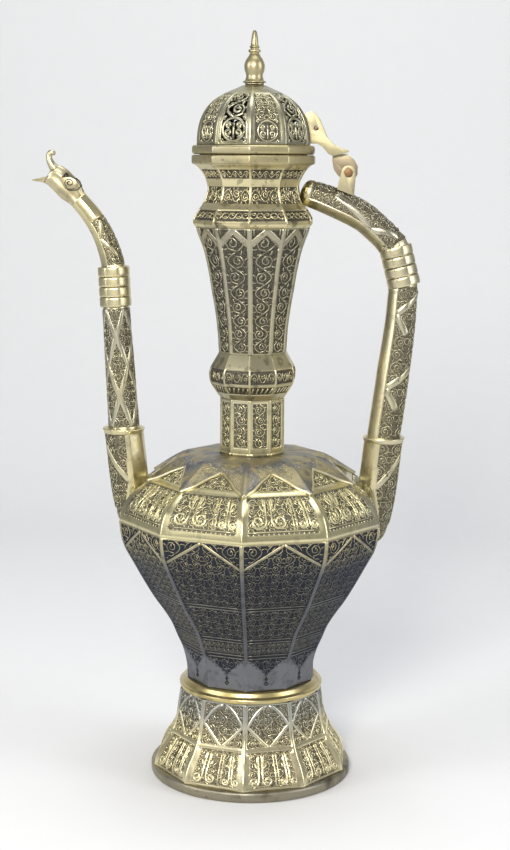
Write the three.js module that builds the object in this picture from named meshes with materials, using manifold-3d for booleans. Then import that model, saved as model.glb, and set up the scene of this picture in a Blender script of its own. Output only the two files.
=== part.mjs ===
// A tall ten-sided silver water ewer: flared foot, pear belly, flared neck, hinged dome lid,
// a bird-headed spout and a loop handle. Millimetres, +Z up. It is built round the vessel's axis and
// then moved along X, so that the origin lies on the ground, midway between the spout's beak and
// the handle's rings. The spout points to -X and the handle to +X. A rib of every shell faces -Y.
import * as THREE from "three";
import { mergeVertices } from "three/addons/utils/BufferGeometryUtils.js";
import Module from "manifold-3d";

const wasm = await Module();
wasm.setup();

// Sizes shared by the whole vessel
const SIDES = 10; // facets of every shell
const TUBE_SIDES = 8; // facets of the spout and the handle
const ROUND_SIDES = 20; // facets of a turned round piece
const RIM_SIDES = 40; // facets of the foot's round rims
const sheet = 1.2; // thickness of the raised silver sheet
const footSteps = 9; // spans of each outline and each bent tube
const bellySteps = 13;
const shoulderSteps = 11;
const knopSteps = 9;
const flareSteps = 8;
const collarSteps = 5;
const domeSteps = 10;
const bendSteps = 14;
const gripSteps = 10;
const socketSteps = 7;
const spoutNeckSteps = 13;
const headBoreSteps = 8;
const crestSteps = 10;
const lugEarSteps = 8;
const gap = 0.3; // clearance where two pieces are soldered or slide
const overrun = 2; // how far a cutter runs past what it cuts
const weld = 1e-4; // points nearer than this are one point

// Foot
const footRimRadius = 52.2;
const footRimHeight = 5.5;
const footRimWidth = 5.4;
const footRimRoll = 1.3; // rounding of the rim's outer edge
const footEdgeInset = 0.5; // from the rim's edge to the corners of the foot's facets
const footTopRadius = 37.6;
const footShellHeight = 40.7;
const footShares = [[0.156, 0.175], [0.475, 0.335], [0.716, 0.495], [0.85, 0.655], [0.91, 0.816]];
const ledgeRadius = 37.3;
const ledgeHeight = 5.4;
const ledgeEdgeShare = 0.42; // of the ledge's height, for its rolled edge
const ledgeRoll = 0.8;

// Belly
const waistRadius = 33.8; // where the belly stands on its foot
const bellyRadius = 69.2;
const bellyLowerHeight = 84.4;
const bellyShares = [[0.03, 0.14], [0.15, 0.27], [0.274, 0.386], [0.463, 0.5], [0.63, 0.615],
  [0.78, 0.73], [0.924, 0.84], [0.98, 0.92]];
const shoulderHeight = 32.6;
const shoulderTopRadius = 24;
const shoulderShares = [[0.053, 0.276], [0.181, 0.475], [0.392, 0.675], [0.491, 0.767],
  [0.617, 0.874], [0.768, 0.963]];
const floorSeat = 1.3; // how far the floor disc lies on the ledge
const starThickness = 1;
const starTipShare = 0.79; // of the belly's radius, on the ribs
const starValleyShare = 0.64; // of the belly's radius, in the middle of a facet

// Neck
const stemRadius = 16.9;
const stemHeight = 29.4;
const knopRadius = 22.6;
const knopHeight = 23;
const knopShares = [[0.82, 0.3], [1, 0.47], [0.92, 0.66]];
const flareFootRadius = 17.7;
const flareTopRadius = 29.6;
const flareHeight = 63;
const flareShares = [[0.1, 0.254], [0.277, 0.448], [0.445, 0.64], [0.68, 0.83], [0.89, 0.927]];

// Mouth
const collarLipRadius = 31;
const collarLipHeight = 3.5;
const collarWaistRadius = 23.7;
const collarWaistHeight = 19; // above the collar's foot
const collarTopRadius = 30.6;
const collarHeight = 31;
const collarLowerShares = [[0.18, 0.2], [0.55, 0.445], [0.83, 0.68]];
const collarUpperShares = [[0.06, 0.25], [0.28, 0.55], [0.62, 0.82]];
const mouthRimRadius = 31.9;
const mouthRimHeight = 4.6;

// Lid
const lidRimRadius = 31.7;
const lidRimHeight = 4.4;
const skirtClearance = 1.6; // lets the skirt swing out of the mouth
const skirtDepth = 3.5;
const domeRadius = 29.3;
const domeHeight = 29.3;
const domeCrownRadius = 6;
const domeShares = [[0.007, 0.144], [0.03, 0.28], [0.075, 0.42], [0.16, 0.56], [0.3, 0.7],
  [0.52, 0.83], [0.8, 0.93]];
const piercedRows = 4; // pairs of holes up a pierced facet
const piercedHoleRadius = 2.1;
const piercedFootHeight = 5.4; // of the lowest holes above the dome's edge
const piercedRowPitch = 5;
const piercedSpreadShare = 0.5; // of the facet's half width, from its middle to a hole

// Finial
const finialRadius = 5.3;
const finialHeight = 26.6;
const finialShares = [[1.09, 0], [1, 0.1], [0.87, 0.2], [0.95, 0.28], [1, 0.35], [0.94, 0.42],
  [0.72, 0.5], [0.51, 0.57], [0.58, 0.64], [0.42, 0.71], [0.38, 0.78], [0.23, 0.93]];
const tangRadius = 2.2;
const tangDepth = 3.4;
const washerRadius = 4.8;
const washerThickness = 0.9;

// Hinge
const hingeX = 47.3;
const hingeBelowRim = 8.4; // pin's axis below the top of the mouth
const hingePinRadius = 1.5;
const hingeHeadRadius = 2.1;
const hingeHeadThickness = 0.6;
const lugWidth = 8.6;
const lugEarRadius = 3.7;
const lugFootLeft = 7; // of the lug's foot from the pin's axis, towards the neck and away from it
const lugFootRight = 2.6;
const knuckleThickness = 3;
const knuckleSweep = 6.2; // room that the knuckle needs round the pin
const knuckleReachShares = [[-0.43, 0.31], [-0.03, 0.3], [0.15, 0.21], [0.25, 0.1], [0.24, -0.03],
  [0.15, -0.12], [0, -0.15], [-0.19, -0.1], [-0.31, -0.03], [-0.4, 0.05], [-0.45, 0.2]];
const strapWidth = 9;
const strapRise = 30; // from the pin's axis to the strap's upper end
const strapShares = [[-1.2, 0.96], [-1.06, 1], [-0.93, 0.97], [-0.8, 0.88], [-0.7, 0.741],
  [-0.59, 0.58], [-0.43, 0.468], [-0.213, 0.402], [-0.02, 0.372], [0.01, 0.345], [-0.115, 0.315],
  [-0.432, 0.272], [-0.56, 0.309], [-0.705, 0.419], [-0.86, 0.475], [-1.2, 0.475]];
const strapReach = 18.3; // from the pin's axis to the dome's face
const tongueThickness = 2.2;
const tongueHeight = 9;
const tongueReach = 3.4;
const strapRivetRadius = 0.9;
const strapRivetShare = 0.72; // of the strap's rise

// Sockets on the shoulder, one for the spout and one for the handle
const spoutSocketInset = 3; // socket's axis inside the belly's radius
const spoutSocketRise = 12.2; // socket's mouth above the shoulder
const handleSocketInset = 2.2;
const handleSocketRise = 9.6;
const socketHalf = 9.9;
const socketLip = 0.8; // how far its lip stands out
const socketLipHeight = 2.6;
const socketCup = 9; // how deep a tube sits in its socket
const socketLength = 46;
const socketLean = 5.5; // how far its foot leans towards the neck
const socketShares = [[0.16, 0.22, 1], [0.33, 0.42, 1], [0.55, 0.68, 0.97], [1, 1, 0.9]];

// Spout
const spoutHalfFoot = 8.1;
const spoutHalfTop = 7.1;
const spoutRise = 62.3; // from the socket's mouth to the foot of the ring collar
const spoutLean = 3.8; // outwards over that rise
const spoutWayShares = [0.35, 0.7]; // stations up the lower tube
const spoutCollarLength = 20.4;
const spoutCollarLean = 1.1;
const spoutCollarHalf = 8;
const spoutNeckHalf = 5.9; // upper tube at the collar
const spoutThroatHalf = 4.6; // upper tube at the head
const spoutNeckRise = 33.4; // from the collar's top to the head
const spoutNeckReach = 17.6;
const spoutNeckShares = [[0.12, 0.25], [0.34, 0.53], [0.64, 0.78]];
const headLength = 23.6;
const headRise = 16.7;
const headStations = [[0.14, 0.3, 1.1, 1.06], [0.3, 0.54, 1.34, 1.1], [0.44, 0.66, 1.2, 1],
  [0.575, 0.69, 0.87, 0.74], [0.68, 0.64, 0.46, 0.52], [0.86, 0.6, 0.27, 0.36],
  [1, 0.565, 0.1, 0.13]]; // reach, rise, half depth and half width shares
const headBoreShares = [[0.3, 0.5], [0.5, 0.7], [0.8, 0.8]];
const headBoreRadius = 2.2;
const crestThickness = 1.3;
const crestStations = [[0.6, 0.94, 1.5], [0.64, 1.16, 1.05], [0.655, 1.36, 0.95], [0.59, 1.5, 1],
  [0.51, 1.43, 0.85], [0.5, 1.36, 0.5]]; // reach, rise and half thickness shares
const bossLength = 4;
const bossWidth = 2.7;
const bossThickness = 1;
const bossShares = [0.14, 0.49]; // reach and rise of its middle
const bossSeatShare = 1.1; // of the throat's half width, out to the boss's middle
const bossTilt = Math.PI / 12;

// Handle
const handleTopDrop = 0.4; // below the mouth collar's waist
const handleEndHalf = 5.9;
const handleBendHalf = 7.5;
const handleRingHalf = 8.3;
const handleTopHalf = 7.5; // lower tube below its rings
const handleFootHalf = 8.5;
const handleRingX = 71.1; // middle of the top ring
const handleRingDrop = 28.1; // from the mouth collar's waist to the top ring
const handleRingLean = 5.1;
const handleRingLength = 19.8;
const handleBendShares = [[0.196, 0.087, 0.6], [0.463, 0.274, 1], [0.676, 0.466, 0.95],
  [0.8, 0.653, 0.9], [0.908, 0.83, 0.9]]; // reach, drop and thickening
const handleGripShares = [[0.1, 0.07, 0.05], [0.18, 0.227, 0.3], [0.5, 0.546, 0.9],
  [0.84, 0.87, 1]]; // reach, drop and thickening
const ringCount = 4;
const ringWall = 1.2;
const ringEdgeShare = 0.12; // of a ring's height, for its chamfer
const ringChamfer = 0.4;

// Places that follow from the sizes, with the seams between pieces from the ground up
const footRadius = footRimRadius - footEdgeInset;
const footShellTop = footRimHeight + footShellHeight;
const ledgeTop = footShellTop + ledgeHeight;
const bellySeam = ledgeTop + bellyLowerHeight;
const shoulderTop = bellySeam + shoulderHeight;
const stemTop = shoulderTop + stemHeight;
const knopTop = stemTop + knopHeight;
const flareTop = knopTop + flareHeight;
const collarTop = flareTop + collarHeight;
const mouthTop = collarTop + mouthRimHeight;
const lidSeat = mouthTop + gap;
const domeFoot = lidSeat + lidRimHeight;
const crownTop = domeFoot + domeHeight;
const hingeZ = mouthTop - hingeBelowRim;
const spoutMouth = new THREE.Vector3(spoutSocketInset - bellyRadius, 0,
  shoulderTop + spoutSocketRise);
const handleMouth = new THREE.Vector3(bellyRadius - handleSocketInset, 0,
  shoulderTop + handleSocketRise);
const flat = Math.cos(Math.PI / SIDES); // a facet's middle as a share of its corners' radius

// Finishes
const finish = (color, roughness, metalness) =>
  new THREE.MeshStandardMaterial({ color, roughness, metalness });
const chasedSilver = finish(0xb9ab84, 0.38, 0.9);
const darkSilver = finish(0x8d8b7c, 0.42, 0.9);
const brightSilver = finish(0xd6c48f, 0.25, 0.95);
const ivorySilver = finish(0xe6dcc2, 0.35, 0.8);
const copper = finish(0xa06848, 0.4, 0.85);

// Outlines, as points of radius and height
const spot = (radius, height) => new THREE.Vector2(radius, height);

// Points on a smooth line from low to high, through shares of the way in radius and in height
function swell(low, high, shares, steps) {
  const inner = shares.map(([across, up]) =>
    spot(low.x + (high.x - low.x) * across, low.y + (high.y - low.y) * up));
  return new THREE.SplineCurve([low, ...inner, high]).getPoints(steps);
}

// The same outline moved square to itself: inwards for a positive distance
function inset(outline, distance) {
  return outline.map((point, i) => {
    const before = outline[Math.max(i - 1, 0)];
    const after = outline[Math.min(i + 1, outline.length - 1)];
    const along = after.clone().sub(before).normalize();
    return spot(point.x - along.y * distance, point.y + along.x * distance);
  });
}

// Turns a closed profile into a solid with the given number of facets
function turned(profile, sides = SIDES) {
  const points = THREE.ShapeUtils.area(profile) > 0 ? [...profile] : [...profile].reverse();
  const onAxis = points.findIndex((p, i) =>
    p.x === 0 && points[(i + points.length - 1) % points.length].x === 0);
  const ordered = onAxis < 0 ? [...points, points[0]]
    : [...points.slice(onAxis), ...points.slice(0, onAxis)];
  return new THREE.LatheGeometry(ordered, sides).rotateX(Math.PI / 2);
}

// A sheet-metal shell below an outline that runs upwards; level ends keep their height
function raised(outline, levelEnds = [true, true]) {
  const inner = inset(outline, sheet);
  const last = inner.length - 1;
  if (levelEnds[0]) inner[0].y = outline[0].y;
  if (levelEnds[1]) inner[last].y = outline[last].y;
  return turned([...outline, ...inner.reverse()]);
}

// A solid that fills an outline to the axis, grown by a clearance: the cutter for what leans on it
function filled(outline, clearance) {
  const grown = inset(outline, -clearance);
  const ends = [grown[0], grown[grown.length - 1]];
  return turned([spot(0, ends[0].y), ...grown, spot(0, ends[1].y)]);
}

// Booleans
function solidOf(geometry) {
  const bare = geometry.clone();
  bare.deleteAttribute("normal");
  bare.deleteAttribute("uv");
  const merged = mergeVertices(bare, weld);
  return new wasm.Manifold(new wasm.Mesh({
    numProp: 3,
    vertProperties: merged.attributes.position.array,
    triVerts: new Uint32Array(merged.index.array),
  }));
}

function geometryOf(solid) {
  const { vertProperties, triVerts, numProp } = solid.getMesh();
  const geometry = new THREE.BufferGeometry();
  const places = new Float32Array(vertProperties.length / numProp * 3);
  for (let i = 0; i < places.length / 3; i++)
    for (let k = 0; k < 3; k++) places[3 * i + k] = vertProperties[numProp * i + k];
  geometry.setAttribute("position", new THREE.BufferAttribute(places, 3));
  geometry.setIndex(new THREE.BufferAttribute(new Uint32Array(triVerts), 1));
  return geometry;
}

const cut = (geometry, ...cutters) =>
  geometryOf(cutters.reduce((left, cutter) => left.subtract(solidOf(cutter)), solidOf(geometry)));
const joined = (geometry, ...others) =>
  geometryOf(others.reduce((sum, other) => sum.add(solidOf(other)), solidOf(geometry)));
const common = (geometry, other) => geometryOf(solidOf(geometry).intersect(solidOf(other)));

// A skin over rings of points. Its ends are capped, or joined to each other where it is a loop.
function skin(rings, isLoop = false) {
  const count = rings[0].length;
  const places = rings.flat().flatMap((p) => [p.x, p.y, p.z]);
  const faces = [];
  const spans = isLoop ? rings.length : rings.length - 1;
  for (let i = 0; i < spans; i++)
    for (let k = 0; k < count; k++) {
      const next = (k + 1) % count;
      const [a, b] = [i * count, ((i + 1) % rings.length) * count];
      faces.push(a + k, a + next, b + next, a + k, b + next, b + k);
    }
  if (!isLoop) {
    const last = (rings.length - 1) * count;
    for (let k = 1; k < count - 1; k++) {
      faces.push(0, k + 1, k);
      faces.push(last, last + k, last + k + 1);
    }
  }
  const volume = faces.reduce((sum, _, i) => {
    if (i % 3) return sum;
    const [a, b, c] = [0, 1, 2].map((k) =>
      new THREE.Vector3().fromArray(places, 3 * faces[i + k]));
    return sum + a.dot(b.cross(c));
  }, 0);
  if (volume < 0)
    for (let i = 0; i < faces.length; i += 3)
      [faces[i + 1], faces[i + 2]] = [faces[i + 2], faces[i + 1]];
  const geometry = new THREE.BufferGeometry();
  geometry.setAttribute("position", new THREE.Float32BufferAttribute(places, 3));
  geometry.setIndex(faces);
  return geometry;
}

// Tubes of the spout and the handle. A station is a place in the XZ plane with a half width.
const station = (x, z, half) => new THREE.Vector3(x, half, z);

// One ring of a tube, square to the direction that it runs in
function section(place, along, half = place.y, sides = TUBE_SIDES, widthShare = 1) {
  const corner = half / Math.cos(Math.PI / sides);
  return Array.from({ length: sides }, (_, k) => {
    const turn = (k + 0.5) / sides * 2 * Math.PI;
    const across = corner * Math.cos(turn);
    return new THREE.Vector3(place.x + along.y * across, corner * widthShare * Math.sin(turn),
      place.z - along.x * across);
  });
}

// The direction of travel at each station, with the first and the last given where they matter
function headings(stations, first, last) {
  return stations.map((place, i) => {
    if (i === 0 && first) return first;
    if (i === stations.length - 1 && last) return last;
    const before = stations[Math.max(i - 1, 0)];
    const after = stations[Math.min(i + 1, stations.length - 1)];
    return spot(after.x - before.x, after.z - before.z).normalize();
  });
}

// Stations on a smooth line through a few
const smooth = (stations, steps) =>
  new THREE.CatmullRomCurve3(stations, false, "centripetal").getPoints(steps);

const solidTube = (stations, first, last) => {
  const along = headings(stations, first, last);
  return stations.map((place, i) => section(place, along[i]));
};

function hollowTube(stations, wall, first, last) {
  const along = headings(stations, first, last);
  const outer = stations.map((place, i) => section(place, along[i]));
  const inner = stations.map((place, i) => section(place, along[i], place.y - wall));
  return skin([...outer, ...inner.reverse()], true);
}

const towards = (from, to) => spot(to.x - from.x, to.z - from.z).normalize();
const partWay = (from, to, share) => from.clone().lerp(to, share);
const middleOf = (from, to) => partWay(from, to, 1 / 2);

// A flat plate in the XZ plane, centred on y = 0
function plate(outline, thickness) {
  return new THREE.ExtrudeGeometry(new THREE.Shape(outline), { depth: thickness, bevelEnabled: false })
    .rotateX(Math.PI / 2).translate(0, thickness / 2, 0);
}

// A round bar along Y through a place in the XZ plane
function bar(x, z, radius, length) {
  return new THREE.CylinderGeometry(radius, radius, length, ROUND_SIDES).translate(x, 0, z);
}

const ewer = new THREE.Group();
const vessel = new THREE.Group();
const lid = new THREE.Group();
ewer.add(vessel, lid);

function add(group, name, geometry, material) {
  const mesh = new THREE.Mesh(geometry, material);
  mesh.name = name;
  group.add(mesh);
}

// Foot
const footOutline = swell(spot(footRadius, footRimHeight), spot(footTopRadius, footShellTop),
  footShares, footSteps);
add(vessel, "foot_rim", turned([
  spot(footRimRadius - footRimRoll, 0),
  spot(footRimRadius, footRimRoll),
  spot(footRimRadius, footRimHeight - footRimRoll),
  spot(footRimRadius - footRimRoll, footRimHeight),
  spot(footRimRadius - footRimWidth, footRimHeight),
  spot(footRimRadius - footRimWidth, 0),
], RIM_SIDES), brightSilver);
add(vessel, "foot_shell", raised(footOutline), chasedSilver);
const ledgeInner = waistRadius - sheet - floorSeat;
const ledgeEdge = footShellTop + ledgeHeight * ledgeEdgeShare;
add(vessel, "foot_ledge", turned([
  spot(ledgeRadius - ledgeRoll, footShellTop),
  spot(ledgeRadius, footShellTop + ledgeRoll),
  spot(ledgeRadius, ledgeEdge - ledgeRoll),
  spot(ledgeRadius - ledgeRoll, ledgeEdge),
  spot(waistRadius + ledgeRoll, ledgeTop),
  spot(ledgeInner, ledgeTop),
  spot(ledgeInner, footShellTop),
], RIM_SIDES), brightSilver);

// Belly
const bellyOutline = swell(spot(waistRadius, ledgeTop), spot(bellyRadius, bellySeam),
  bellyShares, bellySteps);
const stemBore = stemRadius - sheet;
const shoulderOutline = [
  ...swell(spot(bellyRadius, bellySeam), spot(shoulderTopRadius, shoulderTop),
    shoulderShares, shoulderSteps),
  spot(stemBore, shoulderTop),
];
const belly = filled([...bellyOutline, ...shoulderOutline.slice(1)], gap);
add(vessel, "body_floor", turned([
  spot(0, ledgeTop), spot(waistRadius - sheet - gap, ledgeTop),
  spot(waistRadius - sheet - gap, ledgeTop + sheet), spot(0, ledgeTop + sheet),
]), darkSilver);
add(vessel, "body_lower", raised(bellyOutline), darkSilver);

// Star collar on the shoulder: its tips lie on the ribs, its valleys in the facets' middles
const starOutline = Array.from({ length: 2 * SIDES }, (_, k) => {
  const radius = bellyRadius * (k % 2 ? starValleyShare * flat : starTipShare);
  const turn = k / SIDES * Math.PI - Math.PI / 2;
  return spot(radius * Math.cos(turn), radius * Math.sin(turn));
});
const starPrism = new THREE.ExtrudeGeometry(new THREE.Shape(starOutline),
  { depth: shoulderHeight + overrun, bevelEnabled: false }).translate(0, 0, bellySeam);
const starInner = stemRadius + gap;
const starBed = inset(shoulderOutline.slice(0, -1), -gap);
const starTop = inset(shoulderOutline.slice(0, -1), -gap - starThickness);
const starSheet = turned([
  ...starBed, spot(starInner, shoulderTop + gap),
  spot(starInner, shoulderTop + gap + starThickness), ...starTop.reverse(),
]);
add(vessel, "star_collar", common(starSheet, starPrism), chasedSilver);

// Neck
const stemOutline = [spot(stemRadius, shoulderTop), spot(stemRadius, stemTop)];
add(vessel, "neck_stem", raised(stemOutline), chasedSilver);
const knopWay = knopShares.map(([out, up]) =>
  spot(stemRadius + (knopRadius - stemRadius) * out, stemTop + knopHeight * up));
const knopOutline = new THREE.SplineCurve([
  spot(stemRadius, stemTop), ...knopWay, spot(flareFootRadius, knopTop),
]).getPoints(knopSteps);
add(vessel, "neck_knop", raised(knopOutline), chasedSilver);
const flareOutline = swell(spot(flareFootRadius, knopTop), spot(flareTopRadius, flareTop),
  flareShares, flareSteps);
add(vessel, "neck_flare", raised(flareOutline), darkSilver);

// Mouth
const collarWaist = spot(collarWaistRadius, flareTop + collarWaistHeight);
const collarOutline = [
  spot(flareTopRadius, flareTop),
  spot(collarLipRadius, flareTop + collarLipHeight / 2),
  ...swell(spot(collarLipRadius, flareTop + collarLipHeight), collarWaist,
    collarLowerShares, collarSteps),
  ...swell(collarWaist, spot(collarTopRadius, collarTop), collarUpperShares, collarSteps).slice(1),
];
add(vessel, "mouth_collar", raised(collarOutline), chasedSilver);
const mouthBore = collarTopRadius - sheet;
add(vessel, "mouth_rim", turned([
  spot(mouthRimRadius - sheet / 2, collarTop), spot(mouthRimRadius, collarTop + sheet / 2),
  spot(mouthRimRadius, mouthTop - sheet / 2), spot(mouthRimRadius - sheet / 2, mouthTop),
  spot(mouthBore, mouthTop), spot(mouthBore, collarTop),
]), brightSilver);

// Lid
const skirtRadius = mouthBore - skirtClearance;
add(lid, "lid_rim", turned([
  spot(lidRimRadius - sheet / 2, lidSeat), spot(lidRimRadius, lidSeat + sheet / 2),
  spot(lidRimRadius, domeFoot - sheet / 2), spot(lidRimRadius - sheet / 2, domeFoot),
  spot(skirtRadius + gap, domeFoot), spot(skirtRadius + gap, lidSeat),
]), brightSilver);
add(lid, "lid_skirt", turned([
  spot(skirtRadius, lidSeat - skirtDepth), spot(skirtRadius, domeFoot),
  spot(skirtRadius - sheet, domeFoot), spot(skirtRadius - sheet, lidSeat - skirtDepth),
]), darkSilver);
const tangBore = tangRadius + gap;
const domeOutline = [
  ...swell(spot(domeRadius, domeFoot), spot(domeCrownRadius, crownTop), domeShares, domeSteps),
  spot(tangBore, crownTop),
];

// Holes of the pierced facets: rows of pairs, closing in towards the crown
function piercedHoles() {
  const holes = [];
  for (let facet = 0; facet < SIDES; facet += 2) {
    const turn = (facet - 0.5) / SIDES * 2 * Math.PI - Math.PI / 2;
    for (let row = 0; row < piercedRows; row++) {
      const height = piercedFootHeight + row * piercedRowPitch;
      const narrowing = Math.cos(height / domeHeight * Math.PI / 2);
      const spread = domeRadius * Math.sin(Math.PI / SIDES) * piercedSpreadShare * narrowing;
      const radius = piercedHoleRadius * Math.sqrt(narrowing);
      for (const side of [-1, 1])
        holes.push(new THREE.CylinderGeometry(radius, radius, domeRadius, TUBE_SIDES)
          .rotateZ(Math.PI / 2).rotateX(Math.PI / TUBE_SIDES)
          .translate(domeRadius * narrowing, side * spread, 0)
          .rotateZ(turn).translate(0, 0, domeFoot + height));
    }
  }
  return holes;
}
add(lid, "lid_dome", cut(raised(domeOutline, [true, false]), ...piercedHoles()), chasedSilver);

// Finial: turned solid, its tang drawn through the crown and peened over a washer
const finialFoot = crownTop + gap;
add(lid, "finial", turned([
  spot(0, finialFoot - tangDepth), spot(tangRadius, finialFoot - tangDepth),
  spot(tangRadius, finialFoot),
  ...finialShares.map(([out, up]) => spot(finialRadius * out, finialFoot + finialHeight * up)),
  spot(0, finialFoot + finialHeight),
], ROUND_SIDES), brightSilver);
const washerTop = crownTop - sheet - gap;
add(lid, "finial_washer", turned([
  spot(tangBore, washerTop), spot(washerRadius, washerTop),
  spot(washerRadius, washerTop - washerThickness), spot(tangBore, washerTop - washerThickness),
], ROUND_SIDES), darkSilver);

// Hinge: strap and knuckle on the lid, two-eared lug on the handle, pin through both
const hingeBore = hingePinRadius + gap;
const atHinge = ([reach, rise]) => spot(hingeX + strapReach * reach, hingeZ + strapRise * rise);
const domeSolid = filled(domeOutline, gap);
const slotX = hingeX - strapReach;
const tongueZ = hingeZ + strapRise * strapRivetShare;
const box = (x0, x1, y0, y1, z0, z1) => new THREE.BoxGeometry(x1 - x0, y1 - y0, z1 - z0)
  .translate((x0 + x1) / 2, (y0 + y1) / 2, (z0 + z1) / 2);
const tongueSlot = box(slotX - overrun, slotX + tongueReach + gap, -tongueThickness / 2 - gap,
  tongueThickness / 2 + gap, tongueZ - tongueHeight / 2 - gap, tongueZ + tongueHeight / 2 + gap);
const rivetX = slotX + tongueReach / 2 + gap;
const rivetHole = bar(rivetX, tongueZ, strapRivetRadius + gap, strapWidth + overrun);
const strap = joined(plate(strapShares.map(atHinge), strapWidth),
  plate(knuckleReachShares.map(atHinge), knuckleThickness));
add(lid, "thumb_strap", cut(strap, domeSolid, tongueSlot, rivetHole,
  bar(hingeX, hingeZ, hingeBore, strapWidth)), ivorySilver);
add(lid, "strap_tongue", cut(
  box(slotX - overrun, slotX + tongueReach, -tongueThickness / 2, tongueThickness / 2,
    tongueZ - tongueHeight / 2, tongueZ + tongueHeight / 2),
  domeSolid, rivetHole), ivorySilver);
add(lid, "strap_rivet", bar(rivetX, tongueZ, strapRivetRadius, strapWidth + gap), copper);
const pinSpan = lugWidth + 2 * gap;
const pinHeads = [-1, 1].map((side) => bar(hingeX, hingeZ, hingeHeadRadius, hingeHeadThickness)
  .translate(0, side * (pinSpan + hingeHeadThickness) / 2, 0));
add(vessel, "hinge_pin", joined(
  bar(hingeX, hingeZ, hingePinRadius, pinSpan + hingeHeadThickness), ...pinHeads), copper);

// The room that a ring collar takes, with its clearance, for cutting the tubes inside it
function sleeveRoom(top, foot, half) {
  const along = towards(top, foot);
  const end = (place, share) => station(place.x + along.x * share, place.z + along.y * share, half);
  const [first, last] = [end(top, -gap), end(foot, gap)];
  const inner = half - ringWall - gap;
  return skin([section(first, along, half + gap), section(last, along, half + gap),
    section(last, along, inner), section(first, along, inner)], true);
}

// Handle
const handleEnd = station(collarWaistRadius * flat - overrun, collarWaist.y - handleTopDrop,
  handleEndHalf);
const ringTop = station(handleRingX, collarWaist.y - handleRingDrop, handleRingHalf);
const ringFoot = station(handleRingX + handleRingLean, ringTop.z - handleRingLength, handleRingHalf);
const ringDown = towards(ringTop, ringFoot);
const spigotHalf = handleRingHalf - ringWall - gap;
const bendStations = handleBendShares.map(([reach, drop, thick]) => station(
  handleEnd.x + (ringTop.x - handleEnd.x) * reach, handleEnd.z + (ringTop.z - handleEnd.z) * drop,
  handleEndHalf + (handleBendHalf - handleEndHalf) * thick));
const bend = smooth([handleEnd, ...bendStations, station(ringTop.x, ringTop.z, spigotHalf)], bendSteps);
const handleMiddle = middleOf(ringTop, ringFoot);
const upperEnd = station(handleMiddle.x, handleMiddle.z + gap / 2, spigotHalf);
const mouthCollar = filled(collarOutline, gap);
const upperHandle = skin([...solidTube(bend, null, ringDown), section(upperEnd, ringDown)]);
const handleSleeve = sleeveRoom(ringTop, ringFoot, handleRingHalf);
add(vessel, "handle_upper", cut(upperHandle, mouthCollar, handleSleeve), chasedSilver);

const gripTop = station(ringFoot.x, ringFoot.z - gap, handleTopHalf);
const gripFoot = station(handleMouth.x, handleMouth.z, handleFootHalf);
const gripStations = handleGripShares.map(([reach, drop, thick]) => station(
  gripTop.x + (gripFoot.x - gripTop.x) * reach, gripTop.z + (gripFoot.z - gripTop.z) * drop,
  handleTopHalf + (handleFootHalf - handleTopHalf) * thick));
const grip = smooth([gripTop, ...gripStations, gripFoot], gripSteps);
const down = spot(0, -1);
const gripEnd = station(handleMouth.x, handleMouth.z - socketCup + gap, handleFootHalf);
const lowerSpigot = station(handleMiddle.x, handleMiddle.z - gap / 2, spigotHalf);
const lowerHandle = skin([
  section(lowerSpigot, ringDown), section(gripTop, ringDown, spigotHalf),
  ...solidTube(grip, ringDown, down), section(gripEnd, down),
]);
add(vessel, "handle_lower", cut(lowerHandle, handleSleeve), chasedSilver);

// Ring collars: sleeves over the joint of two tubes
function ringCollar(name, top, foot, half) {
  const along = towards(top, foot);
  const pitch = 1 / ringCount;
  const seam = gap / (2 * top.distanceTo(foot));
  for (let i = 0; i < ringCount; i++) {
    const [from, to] = [i * pitch + seam, (i + 1) * pitch - seam];
    const at = (share) => partWay(top, foot, from + (to - from) * share);
    const rings = [
      section(at(0), along, half - ringChamfer), section(at(ringEdgeShare), along, half),
      section(at(1 - ringEdgeShare), along, half), section(at(1), along, half - ringChamfer),
      section(at(1), along, half - ringWall), section(at(0), along, half - ringWall),
    ];
    add(vessel, `${name}_${i + 1}`, skin(rings, true), brightSilver);
  }
}
ringCollar("handle_ring", ringTop, ringFoot, handleRingHalf);

// Sockets: tapered cups soldered over the shoulder, one to each side
function socketStations(mouth) {
  return socketShares.map(([lean, drop, thick]) => station(
    mouth.x - Math.sign(mouth.x) * socketLean * lean,
    mouth.z - socketLength * drop, socketHalf * thick));
}
function socket(mouth, cupHalf, ...cutters) {
  const way = smooth([station(mouth.x, mouth.z - socketLipHeight, socketHalf),
    ...socketStations(mouth)], socketSteps);
  const along = headings(way, down, null);
  const lip = (drop, half) => section(station(mouth.x, mouth.z - drop, half), down);
  const outside = [lip(0, socketHalf + socketLip), lip(socketLipHeight / 2, socketHalf + socketLip),
    ...way.map((place, i) => section(place, along[i]))];
  const cup = skin([lip(-overrun, cupHalf), lip(socketCup, cupHalf)]);
  return cut(skin(outside), cup, belly, ...cutters);
}
add(vessel, "handle_socket", socket(handleMouth, handleFootHalf + gap), chasedSilver);

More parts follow.
